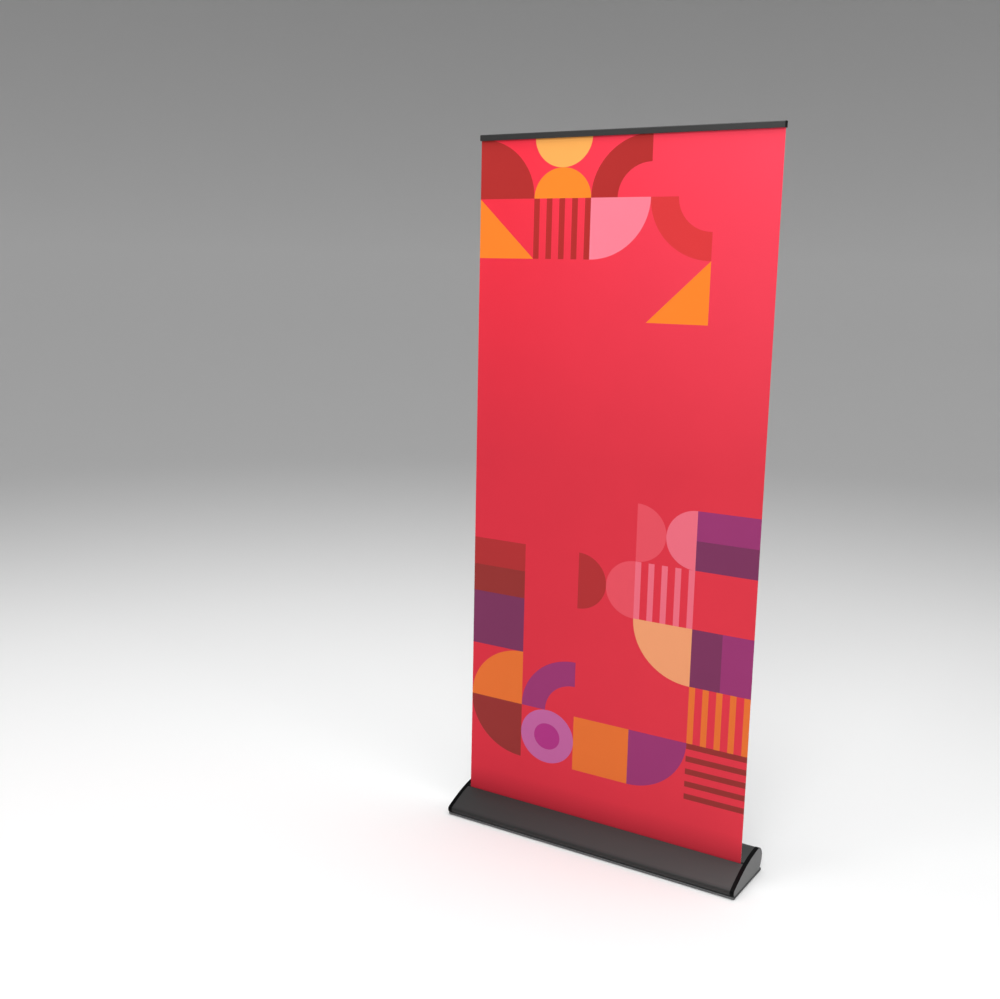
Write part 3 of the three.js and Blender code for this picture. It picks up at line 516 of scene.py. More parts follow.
def filleted(corners, closed=True, steps=4):
    """Points along an outline of (a, b, radius) corners, each rounded by its radius."""
    points = []
    for i, (a, b, radius) in enumerate(corners):
        here = Vector((a, b))
        at_end = not closed and i in (0, len(corners) - 1)
        if radius == 0 or at_end:
            points.append(here)
            continue
        before = (Vector(corners[i - 1][:2]) - here).normalized()
        after = (Vector(corners[(i + 1) % len(corners)][:2]) - here).normalized()
        half = before.angle(after) / 2
        centre = here + (before + after).normalized() * radius / math.sin(half)
        start = here + before * radius / math.tan(half) - centre
        end = here + after * radius / math.tan(half) - centre
        sweep = start.angle_signed(end)
        for k in range(steps + 1):
            turned_by = Matrix.Rotation(-sweep * k / steps, 2)
            points.append(centre + turned_by @ start)
    return points


def rectangle(low_a, high_a, low_b, high_b, radius=0):
    corners = [(low_a, low_b), (high_a, low_b), (high_a, high_b), (low_a, high_b)]
    return filleted([(a, b, radius) for a, b in corners])


def circle(a, b, radius, sides=32):
    return [Vector((a + radius * math.cos(t), b + radius * math.sin(t))) for t in round_angles(sides)]


def anticlockwise(points):
    pairs = zip(points, points[1:] + points[:1])
    area = sum(p.x * q.y - q.x * p.y for p, q in pairs)
    return points if area > 0 else points[::-1]


def inset(points, distance):
    """The closed anticlockwise outline, moved inwards by distance."""
    moved = []
    for i, here in enumerate(points):
        along = [(here - points[i - 1]).normalized(), (points[(i + 1) % len(points)] - here).normalized()]
        first, second = [Vector((-d.y, d.x)) for d in along]
        moved.append(here + (first + second) * distance / max(0.3, 1 + first.dot(second)))
    return moved


PLACES = {
    "x": lambda p, t: (t, p.x, p.y),
    "y": lambda p, t: (p.x, t, p.y),
    "z": lambda p, t: (p.x, p.y, t),
}


def extruded(name, points, low, high, axis, round_low=0.0, round_high=0.0, steps=3, bore=None):
    """The outline taken along axis from low to high, with rounded end edges. bore is an inner outline."""
    points = anticlockwise(list(points))
    rows = []
    for end, sign, radius in ((low, 1, round_low), (high, -1, round_high)):
        count = steps if radius else 0
        for k in range(count + 1):
            angle = math.pi / 2 * k / count if count else math.pi / 2
            depth = radius * (1 - math.cos(angle))
            rows.append((end + sign * depth, radius * (1 - math.sin(angle))))
    rows.sort()
    bm = bmesh.new()
    place = PLACES[axis]
    rings = [[bm.verts.new(place(p, t)) for p in (inset(points, d) if d else points)] for t, d in rows]
    if bore is None:
        return solid(name, bm, rings)
    for lower, upper in zip(rings, rings[1:]):
        bridged(bm, lower, upper)
    bore = anticlockwise(list(bore))
    inner = [[bm.verts.new(place(p, t)) for p in bore] for t in (low, high)]
    bridged(bm, inner[1], inner[0])
    bridged(bm, inner[0], rings[0])
    bridged(bm, rings[-1], inner[1])
    return mesh_object(name, bm)


TURNS = {
    "x": lambda r, d, c, s: (d, r * c, r * s),
    "y": lambda r, d, c, s: (r * s, d, r * c),
    "z": lambda r, d, c, s: (r * c, r * s, d),
}


def turned(name, corners, axis, at, sides=48, closed=False, steps=3):
    """A profile of (radius, distance, rounding) corners turned about axis through at.
    An open profile starts and ends on the axis."""
    profile = filleted(corners, closed, steps)
    bm = bmesh.new()
    rings = []
    for p in profile:
        if p.x < 1e-9:
            rings.append([bm.verts.new(Vector(at) + Vector(TURNS[axis](0, p.y, 0, 0)))])
            continue
        turns = [TURNS[axis](p.x, p.y, math.cos(t), math.sin(t)) for t in round_angles(sides)]
        rings.append([bm.verts.new(Vector(at) + Vector(turn)) for turn in turns])
    pairs = list(zip(rings, rings[1:]))
    if closed:
        pairs.append((rings[-1], rings[0]))
    for first, second in pairs:
        bridged(bm, first, second)
    return mesh_object(name, bm)


def rod(name, radius, low, high, axis, at, sides=48, rounding=0.0):
    corners = [(0, low, 0), (radius, low, rounding), (radius, high, rounding), (0, high, 0)]
    return turned(name, corners, axis, at, sides)


def applied(obj):
    """Turns the object's modifiers into its mesh."""
    graph = bpy.context.evaluated_depsgraph_get()
    mesh = bpy.data.meshes.new_from_object(obj.evaluated_get(graph))
    obj.modifiers.clear()
    obj.data = mesh
    return obj


WELD = 0.002 * MM  # a boolean leaves hairline cracks that this closes


def combined(obj, tools, operation):
    """The object joined with, or cut by, the tools, as one closed mesh."""
    for tool in tools:
        modifier = obj.modifiers.new("combine", "BOOLEAN")
        modifier.object = tool
        modifier.operation = operation
        modifier.solver = "EXACT"
        applied(obj)
        bpy.data.objects.remove(tool)
        bm = bmesh.new()
        bm.from_mesh(obj.data)
        bmesh.ops.remove_doubles(bm, verts=bm.verts, dist=WELD)
        bmesh.ops.dissolve_degenerate(bm, edges=bm.edges, dist=WELD)
        bm.to_mesh(obj.data)
        bm.free()
    return obj


def joined(obj, *tools):
    return combined(obj, tools, "UNION")


def cut(obj, *tools):
    return combined(obj, tools, "DIFFERENCE")


BODY_OF = {node: body for body, nodes in frame["record"]["behaviour"]["bodies"].items() for node in nodes}


def piece(obj, material, *nodes, sharp=32, rides=True):
    """Finishes a piece that stands for the nodes: material, shading, and the first node's body."""
    slot, look = MATERIALS[material]
    obj.data.materials.clear()
    obj.data.materials.append(look)
    obj.data.shade_smooth()
    obj.data.set_sharp_from_angle(angle=math.radians(sharp))
    weighted = obj.modifiers.new("weighted", "WEIGHTED_NORMAL")
    weighted.keep_sharp = True
    weighted.weight = 100
    applied(obj)
    if rides:
        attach(obj, BODY_OF[nodes[0]])
    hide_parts(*nodes)
    return obj


def centre_of(node):
    low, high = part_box(node)
    return (low + high) / 2


# ---- Places and sizes

SAWN = 0.15 * MM  # the rounding of an extrusion's cut ends
SAFE = 1 * MM  # how far a cutting tool runs past the piece it cuts
PLATE_LOW, PLATE_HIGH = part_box("base_plate")
SHELL_LOW, SHELL_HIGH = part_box("casing_front")
FELT_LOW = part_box("slot_felt_front")[0]
RAIL_LOW, RAIL_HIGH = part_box("rail_back")
JAW_LOW, JAW_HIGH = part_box("rail_jaw")
CLIP_LOW, CLIP_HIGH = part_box("pole_clip")
BANNER_Y = (GRAPHIC_LOW.y + GRAPHIC_HIGH.y) / 2
ROLLER_AT = centre_of("roller_tube")
POLE_AT = Vector((0, POLE_Y, 0))
CAP_INSIDE = SHELL_HIGH.x + GAP
FACE = PLATE_HIGH.x

SHELL_INSET = 1 * MM
SHELL_WALL = 2 * MM
SLOT_HALF = 3.3 * MM
LIP_THICKNESS = 1.8 * MM
SEAM_Y = -2 * MM
PORT_R = 4.5 * MM
SCREW_R = 1.9 * MM
SCREW_HOLE_R = 2.2 * MM
PORTS = [centre_of(f"cap_screw_right_{i}") for i in (1, 2, 3, 4)]

RIVET_R = 2.2 * MM
RIVET_HOLE_R = 2.6 * MM
SINK = 2.4 * MM  # a countersunk head is this deep, and widens by as much
RIVETS = [centre_of(f"plate_rivet_{i}") for i in (1, 2, 3, 4)]


def outwards(side, a, b):
    """The limits from a to b, counted outwards from the middle to the left (-1) or the right (1)."""
    return (a, b) if side > 0 else (-b, -a)


def crosswise(at):
    """at, moved to x = 0."""
    return Vector((0, at.y, at.z))


def upright(at):
    """at, moved to z = 0."""
    return Vector((at.x, at.y, 0))


def sleeve(node, material, axis, bore, rounding=0.3 * MM, sides=64):
    """A round tube of the frame, made fine, with its end edges rounded."""
    low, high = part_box(node)
    i = "xyz".index(axis)
    at = (low + high) / 2
    at[i] = 0
    radius = (high - low)[(i + 2) % 3] / 2
    profile = [(bore, low[i]), (radius, low[i]), (radius, high[i]), (bore, high[i])]
    tube = turned("fine_" + node, [(*p, rounding) for p in profile], axis, at, sides, closed=True)
    return piece(tube, material, node)


def bar(name, node, axis, radius, *rounds):
    """A bar of the frame, with its long edges rounded by radius and its end edges by rounds."""
    low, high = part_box(node)
    i = "xyz".index(axis)
    a, b = [k for k in range(3) if k != i]
    outline = rectangle(low[a], high[a], low[b], high[b], radius)
    return extruded(name, outline, low[i], high[i], axis, *rounds)


def block(name, x, y, z):
    return extruded(name, rectangle(*x, *y), *z, "z")


# ---- Base plate, pads and rivets

def base_plate():
    plate = bar("steel_plate", "base_plate", "z", 2.5 * MM, 0.5 * MM, 0.5 * MM)
    sink = SINK + GAP / 2
    hole = [
        (0, PLATE_LOW.z - SAFE, 0),
        (RIVET_HOLE_R + sink + SAFE, PLATE_LOW.z - SAFE, 0),
        (RIVET_HOLE_R, PLATE_LOW.z + sink, 0),
        (RIVET_HOLE_R, PLATE_HIGH.z + SAFE, 0),
        (0, PLATE_HIGH.z + SAFE, 0),
    ]
    holes = [turned("hole", hole, "z", upright(at), 40) for at in [*RIVETS, POLE_AT]]
    piece(cut(plate, *holes), "plate", "base_plate")


GROOVE_PITCH = 6 * MM
GROOVE_HALF = 0.6 * MM
GROOVE_DEPTH = 0.5 * MM


def foot_pads():
    for i in (1, 2, 3, 4):
        low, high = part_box(f"foot_pad_{i}")
        pad = bar(f"rubber_pad_{i}", f"foot_pad_{i}", "z", 3 * MM, 0.35 * MM, 0.2 * MM)
        grooves = []
        for k in range(-4, 5):
            x = (low.x + high.x) / 2 + k * GROOVE_PITCH
            groove_x = (x - GROOVE_HALF, x + GROOVE_HALF)
            grooves.append(block("groove", groove_x, (low.y - SAFE, high.y + SAFE), (-SAFE, GROOVE_DEPTH)))
        piece(cut(pad, *grooves), "rubber", f"foot_pad_{i}")


def countersunk(radius):
    """The profile of a countersunk head under the plate."""
    z = PLATE_LOW.z + GAP
    return [(0, z, 0), (radius + SINK, z, 0.1 * MM), (radius, z + SINK, 0)]


def rivets():
    for i, at in enumerate(RIVETS, 1):
        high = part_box(f"plate_rivet_{i}")[1].z
        set_z = SHELL_LOW.z + SHELL_WALL + GAP
        set_head = [(RIVET_R, set_z, 0), (4.2 * MM, set_z, 0.3 * MM), (3.4 * MM, high - 0.5 * MM, 0.8 * MM)]
        profile = [*countersunk(RIVET_R), *set_head, (0, high, 0)]
        piece(turned(f"blind_rivet_{i}", profile, "z", upright(at), 40), "steel", f"plate_rivet_{i}")


# ---- Casing

# The casing's section in y and z, as cubic curves: toe, front slope, shoulder and back
FLOOR_Z = SHELL_LOW.z / MM
SECTION = [
    ((-101, FLOOR_Z), (-108.5, 10), (-111.9, 24.4), (-104, 28.5)),
    ((-104, 28.5), (-44, 59.7), (5, 78.7), (75, 81.5)),
    ((75, 81.5), (89, 82), (107.5, 64), (108.5, 48)),
    ((108.5, 48), (108.5, 32), (98, 20), (91, FLOOR_Z)),
]
CURVE_STEPS = 18


def curve_point(curve, t, depth):
    """The point on a cubic curve at t, moved into the casing by depth."""
    a, b, c, d = [Vector(p) * MM for p in curve]
    s = 1 - t
    here = a * s**3 + b * 3 * s * s * t + c * 3 * s * t * t + d * t**3
    along = ((b - a) * s * s + (c - b) * 2 * s * t + (d - c) * t * t).normalized()
    return here + Vector((along.y, -along.x)) * depth


def section(depth, bottom):
    """The casing's section, moved in by depth on its curved sides and standing on bottom."""
    points = []
    for curve in SECTION:
        for k in range(CURVE_STEPS + 1):
            p = curve_point(curve, k / CURVE_STEPS, depth)
            if p.y > bottom + 0.1 * MM and (not points or (p - points[-1]).length > 0.3 * MM):
                points.append(p)
    feet = []
    for first, second in ((points[0], points[1]), (points[-1], points[-2])):
        share = (first.y - bottom) / (second.y - first.y)
        feet.append(first + (first - second) * share)
    return [feet[0], *points, feet[1]]


def height_at(points, y):
    """The height of a section's upper side at y."""
    crossing = [(p, q) for p, q in zip(points, points[1:]) if p.x <= y < q.x]
    p, q = max(crossing, key=lambda pair: pair[0].y)
    return p.y + (q.y - p.y) * (y - p.x) / (q.x - p.x)


def casing_shell(side):
    """The front (-1) or rear (1) shell: wall, slot lip, screw ports and rivet holes."""
    floor_top = SHELL_LOW.z + SHELL_WALL
    outer = section(SHELL_INSET, SHELL_LOW.z)
    inner = section(SHELL_INSET + SHELL_WALL, floor_top)
    edge = BANNER_Y + side * SLOT_HALF
    lip = edge + side * LIP_THICKNESS
    seam = SEAM_Y + side * GAP / 2
    if side > 0:
        outer.reverse()
        inner.reverse()

    def beyond(points, y):
        return [(p.x, p.y, 0) for p in points[1:-1] if (p.x - y) * side > 1 * MM]

    rising = outer if side < 0 else outer[::-1]
    rising_inside = inner if side < 0 else inner[::-1]
    profile = [
        (seam, SHELL_LOW.z, 0.3 * MM),
        (outer[0].x, SHELL_LOW.z, 0.5 * MM),
        *beyond(outer, edge),
        (edge, height_at(rising, edge), 0.5 * MM),
        (edge, FELT_LOW.z, 0.5 * MM),
        (lip, FELT_LOW.z, 0.5 * MM),
        (lip, height_at(rising_inside, lip), 0.5 * MM),
        *beyond(inner, lip)[::-1],
        (inner[0].x, floor_top, 0.4 * MM),
        (seam, floor_top, 0.3 * MM),
    ]
    word = "front" if side < 0 else "rear"
    ends = (SHELL_LOW.x, SHELL_HIGH.x)
    shell = extruded(f"{word}_shell", filleted(profile), *ends, "x", SAWN, SAWN)
    over = (SHELL_LOW.x - SAFE, SHELL_HIGH.x + SAFE)
    span = (SHELL_LOW.x + 0.1 * MM, SHELL_HIGH.x - 0.1 * MM)
    places = [crosswise(at) for at in (PORTS[:2] if side < 0 else PORTS[2:])]
    shell = joined(shell, *[rod("port", PORT_R, *span, "x", at, 32) for at in places])
    tools = [rod("bore", SCREW_HOLE_R, *over, "x", at, 24) for at in places]
    holes = [(at, RIVET_HOLE_R) for at in RIVETS if (at.y - SEAM_Y) * side > 0]
    if side > 0:
        holes.append((POLE_AT, SCREW_HOLE_R))
        rim = (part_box("pole_socket")[1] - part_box("pole_socket")[0]).x / 2
        tools.append(rod("rim_hole", rim + GAP, ROLLER_AT.z, 0.2, "z", POLE_AT, 64))
    for at, radius in holes:
        tools.append(rod("floor_hole", radius, 0, floor_top + SAFE, "z", upright(at), 32))
    piece(cut(shell, *tools), "casing", f"casing_{word}")


# Shares of the strip's height, and how far its pile stands out there
PILE_OUTLINE = [(0, 0), (0.05, 0.6), (0.2, 0.95), (0.5, 1), (0.8, 0.95), (0.95, 0.6), (1, 0)]


def slot_felts():
    """A pile strip on each lip, with a ragged face towards the graphic."""
    for word, side in (("front", -1), ("rear", 1)):
        low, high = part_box(f"slot_felt_{word}")
        back, face = (low.y, high.y) if side < 0 else (high.y, low.y)
        bm = bmesh.new()
        rows = []
        steps = 600
        for k in range(steps + 1):
            x = low.x + (high.x - low.x) * k / steps
            row = []
            for z_share, y_share in PILE_OUTLINE:
                ragged = 0.3 * y_share * noise.noise(Vector((x * 900, z_share * 9, side)))
                y = back + (face - back) * y_share * (0.88 + ragged * 0.4)
                row.append(bm.verts.new((x, y, low.z + (high.z - low.z) * z_share)))
            rows.append(row)
        piece(solid(f"pile_strip_{word}", bm, rows), "felt", f"slot_felt_{word}", sharp=60)


# ---- Ends of the base

CAP_WALL = 2.6 * MM
CAP_WEB = 2.4 * MM
INSERT_RIM = 1.3 * MM
INSERT_THICKNESS = 1.5 * MM
POCKET_FLOOR = FACE - INSERT_THICKNESS - GAP
WEB_INSIDE = POCKET_FLOOR - CAP_WEB
SCREW_SEAT = POCKET_FLOOR - 2 * MM
SCREW_SEAT_R = 3.9 * MM
BOSS_END = WEB_INSIDE + 0.2 * MM
BEARING_R = 10 * MM
BEARING_REACH = 2 * MM
SHAFT_R = 3.5 * MM
SHAFT_SQUARE_HALF = 3 * MM


def section_prism(name, side, depth, bottom, a, b, rounding=0.0):
    """The casing's section between two distances outwards, with its outer end edge rounded."""
    rounds = (0, rounding) if side > 0 else (rounding, 0)
    return extruded(name, section(depth, bottom), *outwards(side, a, b), "x", *rounds)


def end_rod(name, side, radius, a, b, at, sides=40):
    return rod(name, radius, *outwards(side, a, b), "x", crosswise(at), sides)


def square_bar(name, half, x):
    y = (ROLLER_AT.y - half, ROLLER_AT.y + half)
    return block(name, x, y, (ROLLER_AT.z - half, ROLLER_AT.z + half))


def end_cap(side, word):
    bottom = SHELL_LOW.z
    cap = section_prism(f"cap_{word}", side, 0, bottom, CAP_INSIDE, FACE, 0.6 * MM)
    cut(
        cap,
        section_prism("pocket", side, INSERT_RIM, bottom + INSERT_RIM, POCKET_FLOOR, FACE + SAFE),
        section_prism("inside", side, CAP_WALL, bottom + CAP_WALL, CAP_INSIDE - SAFE, WEB_INSIDE),
    )
    joined(
        cap,
        end_rod("bearing", side, BEARING_R, CAP_INSIDE - BEARING_REACH, BOSS_END, ROLLER_AT, 64),
        *[end_rod("boss", side, PORT_R, CAP_INSIDE + 0.1 * MM, BOSS_END, at) for at in PORTS],
    )
    seat_x = (CAP_INSIDE - BEARING_REACH - SAFE, WEB_INSIDE)
    if side < 0:
        seat = square_bar("seat", SHAFT_SQUARE_HALF + GAP, outwards(side, *seat_x))
    else:
        seat = end_rod("seat", side, SHAFT_R + GAP, *seat_x, ROLLER_AT)
    cut(
        cap,
        seat,
        *[end_rod("hole", side, SCREW_HOLE_R, CAP_INSIDE - SAFE, FACE, at) for at in PORTS],
        *[end_rod("seat", side, SCREW_SEAT_R, SCREW_SEAT, FACE, at) for at in PORTS],
    )
    piece(cap, "black", f"end_cap_{word}")


def end_insert(side, word):
    depth = INSERT_RIM + GAP
    inside = FACE - INSERT_THICKNESS
    insert = section_prism(f"insert_{word}", side, depth, SHELL_LOW.z + depth, inside, FACE, 0.3 * MM)
    piece(insert, "grey", f"end_insert_{word}")


def cross_recess(axis, at, out, width, depth):
    """Two crossed bars for a screw head's recess. out is the head's end along axis and its outward sign."""
    end, sign = out
    limits = sorted((end + sign * SAFE, end - sign * depth))
    bars = []
    for long_way, narrow in ((width / 2, width / 7), (width / 7, width / 2)):
        outline = rectangle(-long_way, long_way, -narrow, narrow)
        bar = extruded("recess", outline, *limits, axis)
        bar.data.transform(Matrix.Translation(at))
        bars.append(bar)
    return bars


def cap_screws(side, word):
    head_top = POCKET_FLOOR - GAP
    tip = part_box("cap_screw_right_1")[0].x
    for i, at in enumerate(PORTS, 1):
        profile = [
            (0, tip, 0),
            (SCREW_R * 0.5, tip, 0),
            (SCREW_R, tip + 3 * MM, 0),
            (SCREW_R, SCREW_SEAT + GAP, 0),
            (3.5 * MM, SCREW_SEAT + GAP, 0.2 * MM),
            (3.5 * MM, head_top, 0.5 * MM),
            (0, head_top, 0),
        ]
        placed = [(r, side * d, rounding) for r, d, rounding in profile]
        screw = turned(f"self_tapper_{word}_{i}", placed, "x", crosswise(at), 32)
        cut(screw, *cross_recess("x", crosswise(at), (side * head_top, side), 3.6 * MM, 0.9 * MM))
        piece(screw, "steel_x", f"cap_screw_{word}_{i}")


# ---- Roller

TUBE_R = 14 * MM
TUBE_BORE_R = 12.4 * MM
SPRING_R = 8 * MM
SPRING_TURNS = 18
WIRE_R = 0.9 * MM


def swept(name, path, radius, sides=10):
    """A round wire along a list of points."""
    bm = bmesh.new()
    rings = []
    normal = None
    for i, here in enumerate(path):
        along = (path[min(i + 1, len(path) - 1)] - path[max(i - 1, 0)]).normalized()
        if normal is None:
            normal = along.orthogonal().normalized()
        normal = (normal - along * normal.dot(along)).normalized()
        across = along.cross(normal)
        spokes = [normal * math.cos(t) + across * math.sin(t) for t in round_angles(sides)]
        rings.append([bm.verts.new(here + spoke * radius) for spoke in spokes])
    return solid(name, bm, rings)


def circle_point(centre, radius, angle):
    """The y and z of a point round the centre."""
    return centre.y + radius * math.cos(angle), centre.z + radius * math.sin(angle)


def roller_plug(side, word):
    node = f"roller_plug_{word}"
    low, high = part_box(node)
    deep, end = sorted((abs(low.x), abs(high.x)))
    flange = end - 2.1 * MM
    bore = SHAFT_R + GAP + (2 * MM if side > 0 else 0)
    profile = [
        (bore, deep, 0.2 * MM),
        (TUBE_BORE_R - GAP, deep, 0.6 * MM),
        (TUBE_BORE_R - GAP, flange, 0.1 * MM),
        (TUBE_R, flange, 0.2 * MM),
        (TUBE_R, end, 0.4 * MM),
        (bore, end, 0.3 * MM),
    ]
    placed = [(r, side * d, rounding) for r, d, rounding in profile]
    plug = turned(f"tube_plug_{word}", placed, "x", crosswise(ROLLER_AT), 64, closed=True)
    piece(plug, "black", node)


def roller():
    sleeve("roller_tube", "tube", "x", TUBE_BORE_R)
    roller_plug(-1, "left")
    roller_plug(1, "right")
    sleeve("bearing_bush", "nylon", "x", SHAFT_R + 0.1 * MM)
    sleeve("spring_anchor", "nylon", "x", SHAFT_R + GAP, 0.5 * MM)
    axis_at = crosswise(ROLLER_AT)
    low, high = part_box("bearing_pin")
    piece(rod("idle_pin", SHAFT_R, low.x, high.x, "x", axis_at, 48, 0.5 * MM), "steel_x", "bearing_pin")
    low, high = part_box("roller_shaft")
    square_end = -CAP_INSIDE + 3 * MM
    shaft = rod("fixed_shaft", SHAFT_R, square_end - 0.5 * MM, high.x, "x", axis_at, 48, 0.4 * MM)
    joined(shaft, square_bar("square", SHAFT_SQUARE_HALF, (low.x, square_end)))
    piece(shaft, "steel_x", "roller_shaft")

    low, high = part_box("torsion_spring")
    steps = SPRING_TURNS * 28
    path = []
    for k in range(steps + 1):
        angle = 2 * math.pi * SPRING_TURNS * k / steps
        x = low.x + WIRE_R + (high.x - low.x - 2 * WIRE_R) * k / steps
        at = circle_point(ROLLER_AT, SPRING_R, angle)
        path.append(Vector((x, *at)))
    piece(swept("roller_spring", path, WIRE_R), "steel_x", "torsion_spring", sharp=60)


TAIL_TURNS = 1.7
TAIL_R = 14.35 * MM
TAIL_PITCH = 0.3 * MM
TAIL_THICKNESS = 0.2 * MM


def graphic_tail():
    """The graphic's lower end, wound on the roller as a spiral."""
    steps = int(TAIL_TURNS * 72)
    sides = []
    for edge in (TAIL_THICKNESS / 2, -TAIL_THICKNESS / 2):
        line = []
        for k in range(steps + 1):
            angle = 2 * math.pi * TAIL_TURNS * k / steps
            radius = TAIL_R + TAIL_PITCH * TAIL_TURNS * k / steps + edge
            line.append(Vector(circle_point(ROLLER_AT, radius, angle)))
        sides.append(line)
    low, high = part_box("graphic_tail")
    tail = extruded("wound_tail", sides[0] + sides[1][::-1], low.x, high.x, "x")
    piece(tail, "film", "graphic_tail", sharp=60)


# ---- Graphic

FLAT_TOP = 0.5  # the film stays flat this far under the rail, so that it clears the rail when wound in
FLAT_FOOT = 0.07  # and this far above the plate, where it passes the slot
EASE = 0.25  # the height over which its shape sets in
CURL_WIDTH = 45 * MM


def film_shift(x, z):
    """How far the hanging film stands off its plane: long ripples and a slight curl at its side edges,
    and none where the rail and the slot hold it."""
    hold = min(1, (RAIL_LOW.z - FLAT_TOP - z) / EASE, (z - PLATE_HIGH.z - FLAT_FOOT) / EASE)
    if hold <= 0:
        return 0
    hold = hold * hold * (3 - 2 * hold)
    ripple = noise.noise(Vector((x * 7, 0, z * 0.9))) * 0.5 * MM
    sag = math.sin((x - 0.1) * 9 + z * 1.3) * 0.15 * MM
    edge = max(0, 1 - (GRAPHIC_HIGH.x - abs(x)) / CURL_WIDTH)
    curl = edge * edge * (0.7 + 0.3 * math.sin(z * 3 + x)) * 0.55 * MM
    return hold * (ripple + sag + curl)


def graphic_film():
    columns = 110
    rows = 220
    low, high = GRAPHIC_LOW, GRAPHIC_HIGH
    bm = bmesh.new()
    layers = []
    for y in (low.y, high.y):
        layer = []
        for i in range(columns + 1):
            # Columns are closer together near the side edges, where the film curls
            share = i / columns
            x = low.x + (high.x - low.x) * (share - math.sin(2 * math.pi * share) / (2 * math.pi) * 0.7)
            heights = [low.z + (high.z - low.z) * j / rows for j in range(rows + 1)]
            layer.append([bm.verts.new((x, y + film_shift(x, z), z)) for z in heights])
        layers.append(layer)
    front, back = layers
    for i in range(columns):
        for j in range(rows):
            bm.faces.new((front[i][j], front[i + 1][j], front[i + 1][j + 1], front[i][j + 1]))
            bm.faces.new((back[i][j], back[i][j + 1], back[i + 1][j + 1], back[i + 1][j]))
    for i in range(columns):
        bm.faces.new((front[i + 1][0], front[i][0], back[i][0], back[i + 1][0]))
        bm.faces.new((front[i][rows], front[i + 1][rows], back[i + 1][rows], back[i][rows]))
    for j in range(rows):
        bm.faces.new((front[0][j], front[0][j + 1], back[0][j + 1], back[0][j]))
        bm.faces.new((front[columns][j + 1], front[columns][j], back[columns][j], back[columns][j + 1]))
    film = mesh_object("graphic_film", bm)
    piece(film, "print", "banner_sheet")
    film.data.materials.append(MATERIALS["film"][1])
    for face in film.data.polygons:
        face.material_index = 0 if face.normal.y < -0.5 else 1
    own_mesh(film)


# ---- Pole and its socket

POLE_R = 7.5 * MM
POLE_BORE_R = 6.5 * MM
POLE_FIT = 0.4 * MM
CORD_R = 1.5 * MM
CORD_RIB = 0.06 * MM


def pole_socket():
    low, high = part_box("pole_socket")
    rim_r = (high.x - low.x) / 2
    tube_r = 10.5 * MM
    rim_z = high.z - 22 * MM
    seat_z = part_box("pole_foot_plug")[0].z - GAP
    bore = POLE_R + POLE_FIT
    profile = [
        (SCREW_HOLE_R, low.z, 0.2 * MM),
        (tube_r, low.z, 0.5 * MM),
        (tube_r, rim_z, 1 * MM),
        (rim_r, rim_z + rim_r - tube_r, 1 * MM),
        (rim_r, high.z, 0.8 * MM),
        (bore, high.z, 0.6 * MM),
        (bore, seat_z, 0.3 * MM),
        (SCREW_HOLE_R, seat_z, 0.3 * MM),
    ]
    piece(turned("socket", profile, "z", POLE_AT, 64, closed=True), "black", "pole_socket")
    low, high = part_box("socket_screw")
    shank = [(SCREW_R, high.z - 0.6 * MM, 0), (0, high.z, 0)]
    screw = turned("socket_fastener", [*countersunk(SCREW_R), *shank], "z", POLE_AT, 40)
    cut(screw, *cross_recess("z", POLE_AT, (low.z, -1), 4 * MM, 1.4 * MM))
    piece(screw, "steel", "socket_screw")


def pole():
    for word in ("lower", "middle", "upper"):
        sleeve(f"pole_{word}", "pole", "z", POLE_BORE_R, 0.25 * MM, 72)
    for word in ("lower", "middle"):
        sleeve(f"ferrule_{word}", "steel", "z", POLE_BORE_R - GAP - 1.5 * MM, 0.3 * MM)
    for node, inward in (("pole_foot_plug", 1), ("pole_top_plug", -1)):
        low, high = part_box(node)
        end = low.z if inward > 0 else high.z
        hole = CORD_R + 0.5 * MM
        pocket = 4 * MM
        profile = [
            (pocket, 0, 0.4 * MM),
            (POLE_R, 0, 0.8 * MM),
            (POLE_R, 3.6 * MM, 0.2 * MM),
            (POLE_BORE_R - GAP, 3.6 * MM, 0),
            (POLE_BORE_R - GAP, 30 * MM, 0.8 * MM),
            (hole, 30 * MM, 0.3 * MM),
            (hole, 11 * MM, 0.2 * MM),
            (pocket, 11 * MM, 0.5 * MM),
        ]
        placed = [(r, end + inward * d, rounding) for r, d, rounding in profile]
        piece(turned("fine_" + node, placed, "z", POLE_AT, 64, closed=True), "black", node)


def shock_cord():
    """The cord in two lengths that meet in the middle of the pole. Each spans one joint."""
    low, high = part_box("shock_cord")
    middle = (low.z + high.z) / 2
    for word, start, end, bodies in (
        ("low", low.z, middle, ("pole_bottom", "pole_centre")),
        ("high", middle, high.z, ("pole_centre", "pole_top")),
    ):
        steps = 160
        heights = [start + (end - start) * k / steps for k in range(steps + 1)]
        ribbed = [(CORD_R - CORD_RIB * (k % 2), z, 0) for k, z in enumerate(heights)]
        profile = [(0, start, 0), *ribbed, (0, end, 0)]
        cord = turned(f"elastic_cord_{word}", profile, "z", POLE_AT, 16)
        piece(cord, "cord", "shock_cord", sharp=60, rides=False)
        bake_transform(cord)
    for word in ("low", "high"):
        at = centre_of(f"cord_knot_{word}")
        path = []
        for k in range(97):
            t = 2 * math.pi * k / 96
            x = math.sin(t) + 2 * math.sin(2 * t)
            y = math.cos(t) - 2 * math.cos(2 * t)
            path.append(at + Vector((x, y, -math.sin(3 * t))) * 0.78 * MM)
        piece(swept(f"overhand_knot_{word}", path, 1.02 * MM, 12), "cord", f"cord_knot_{word}", sharp=60)


# ---- Top rail

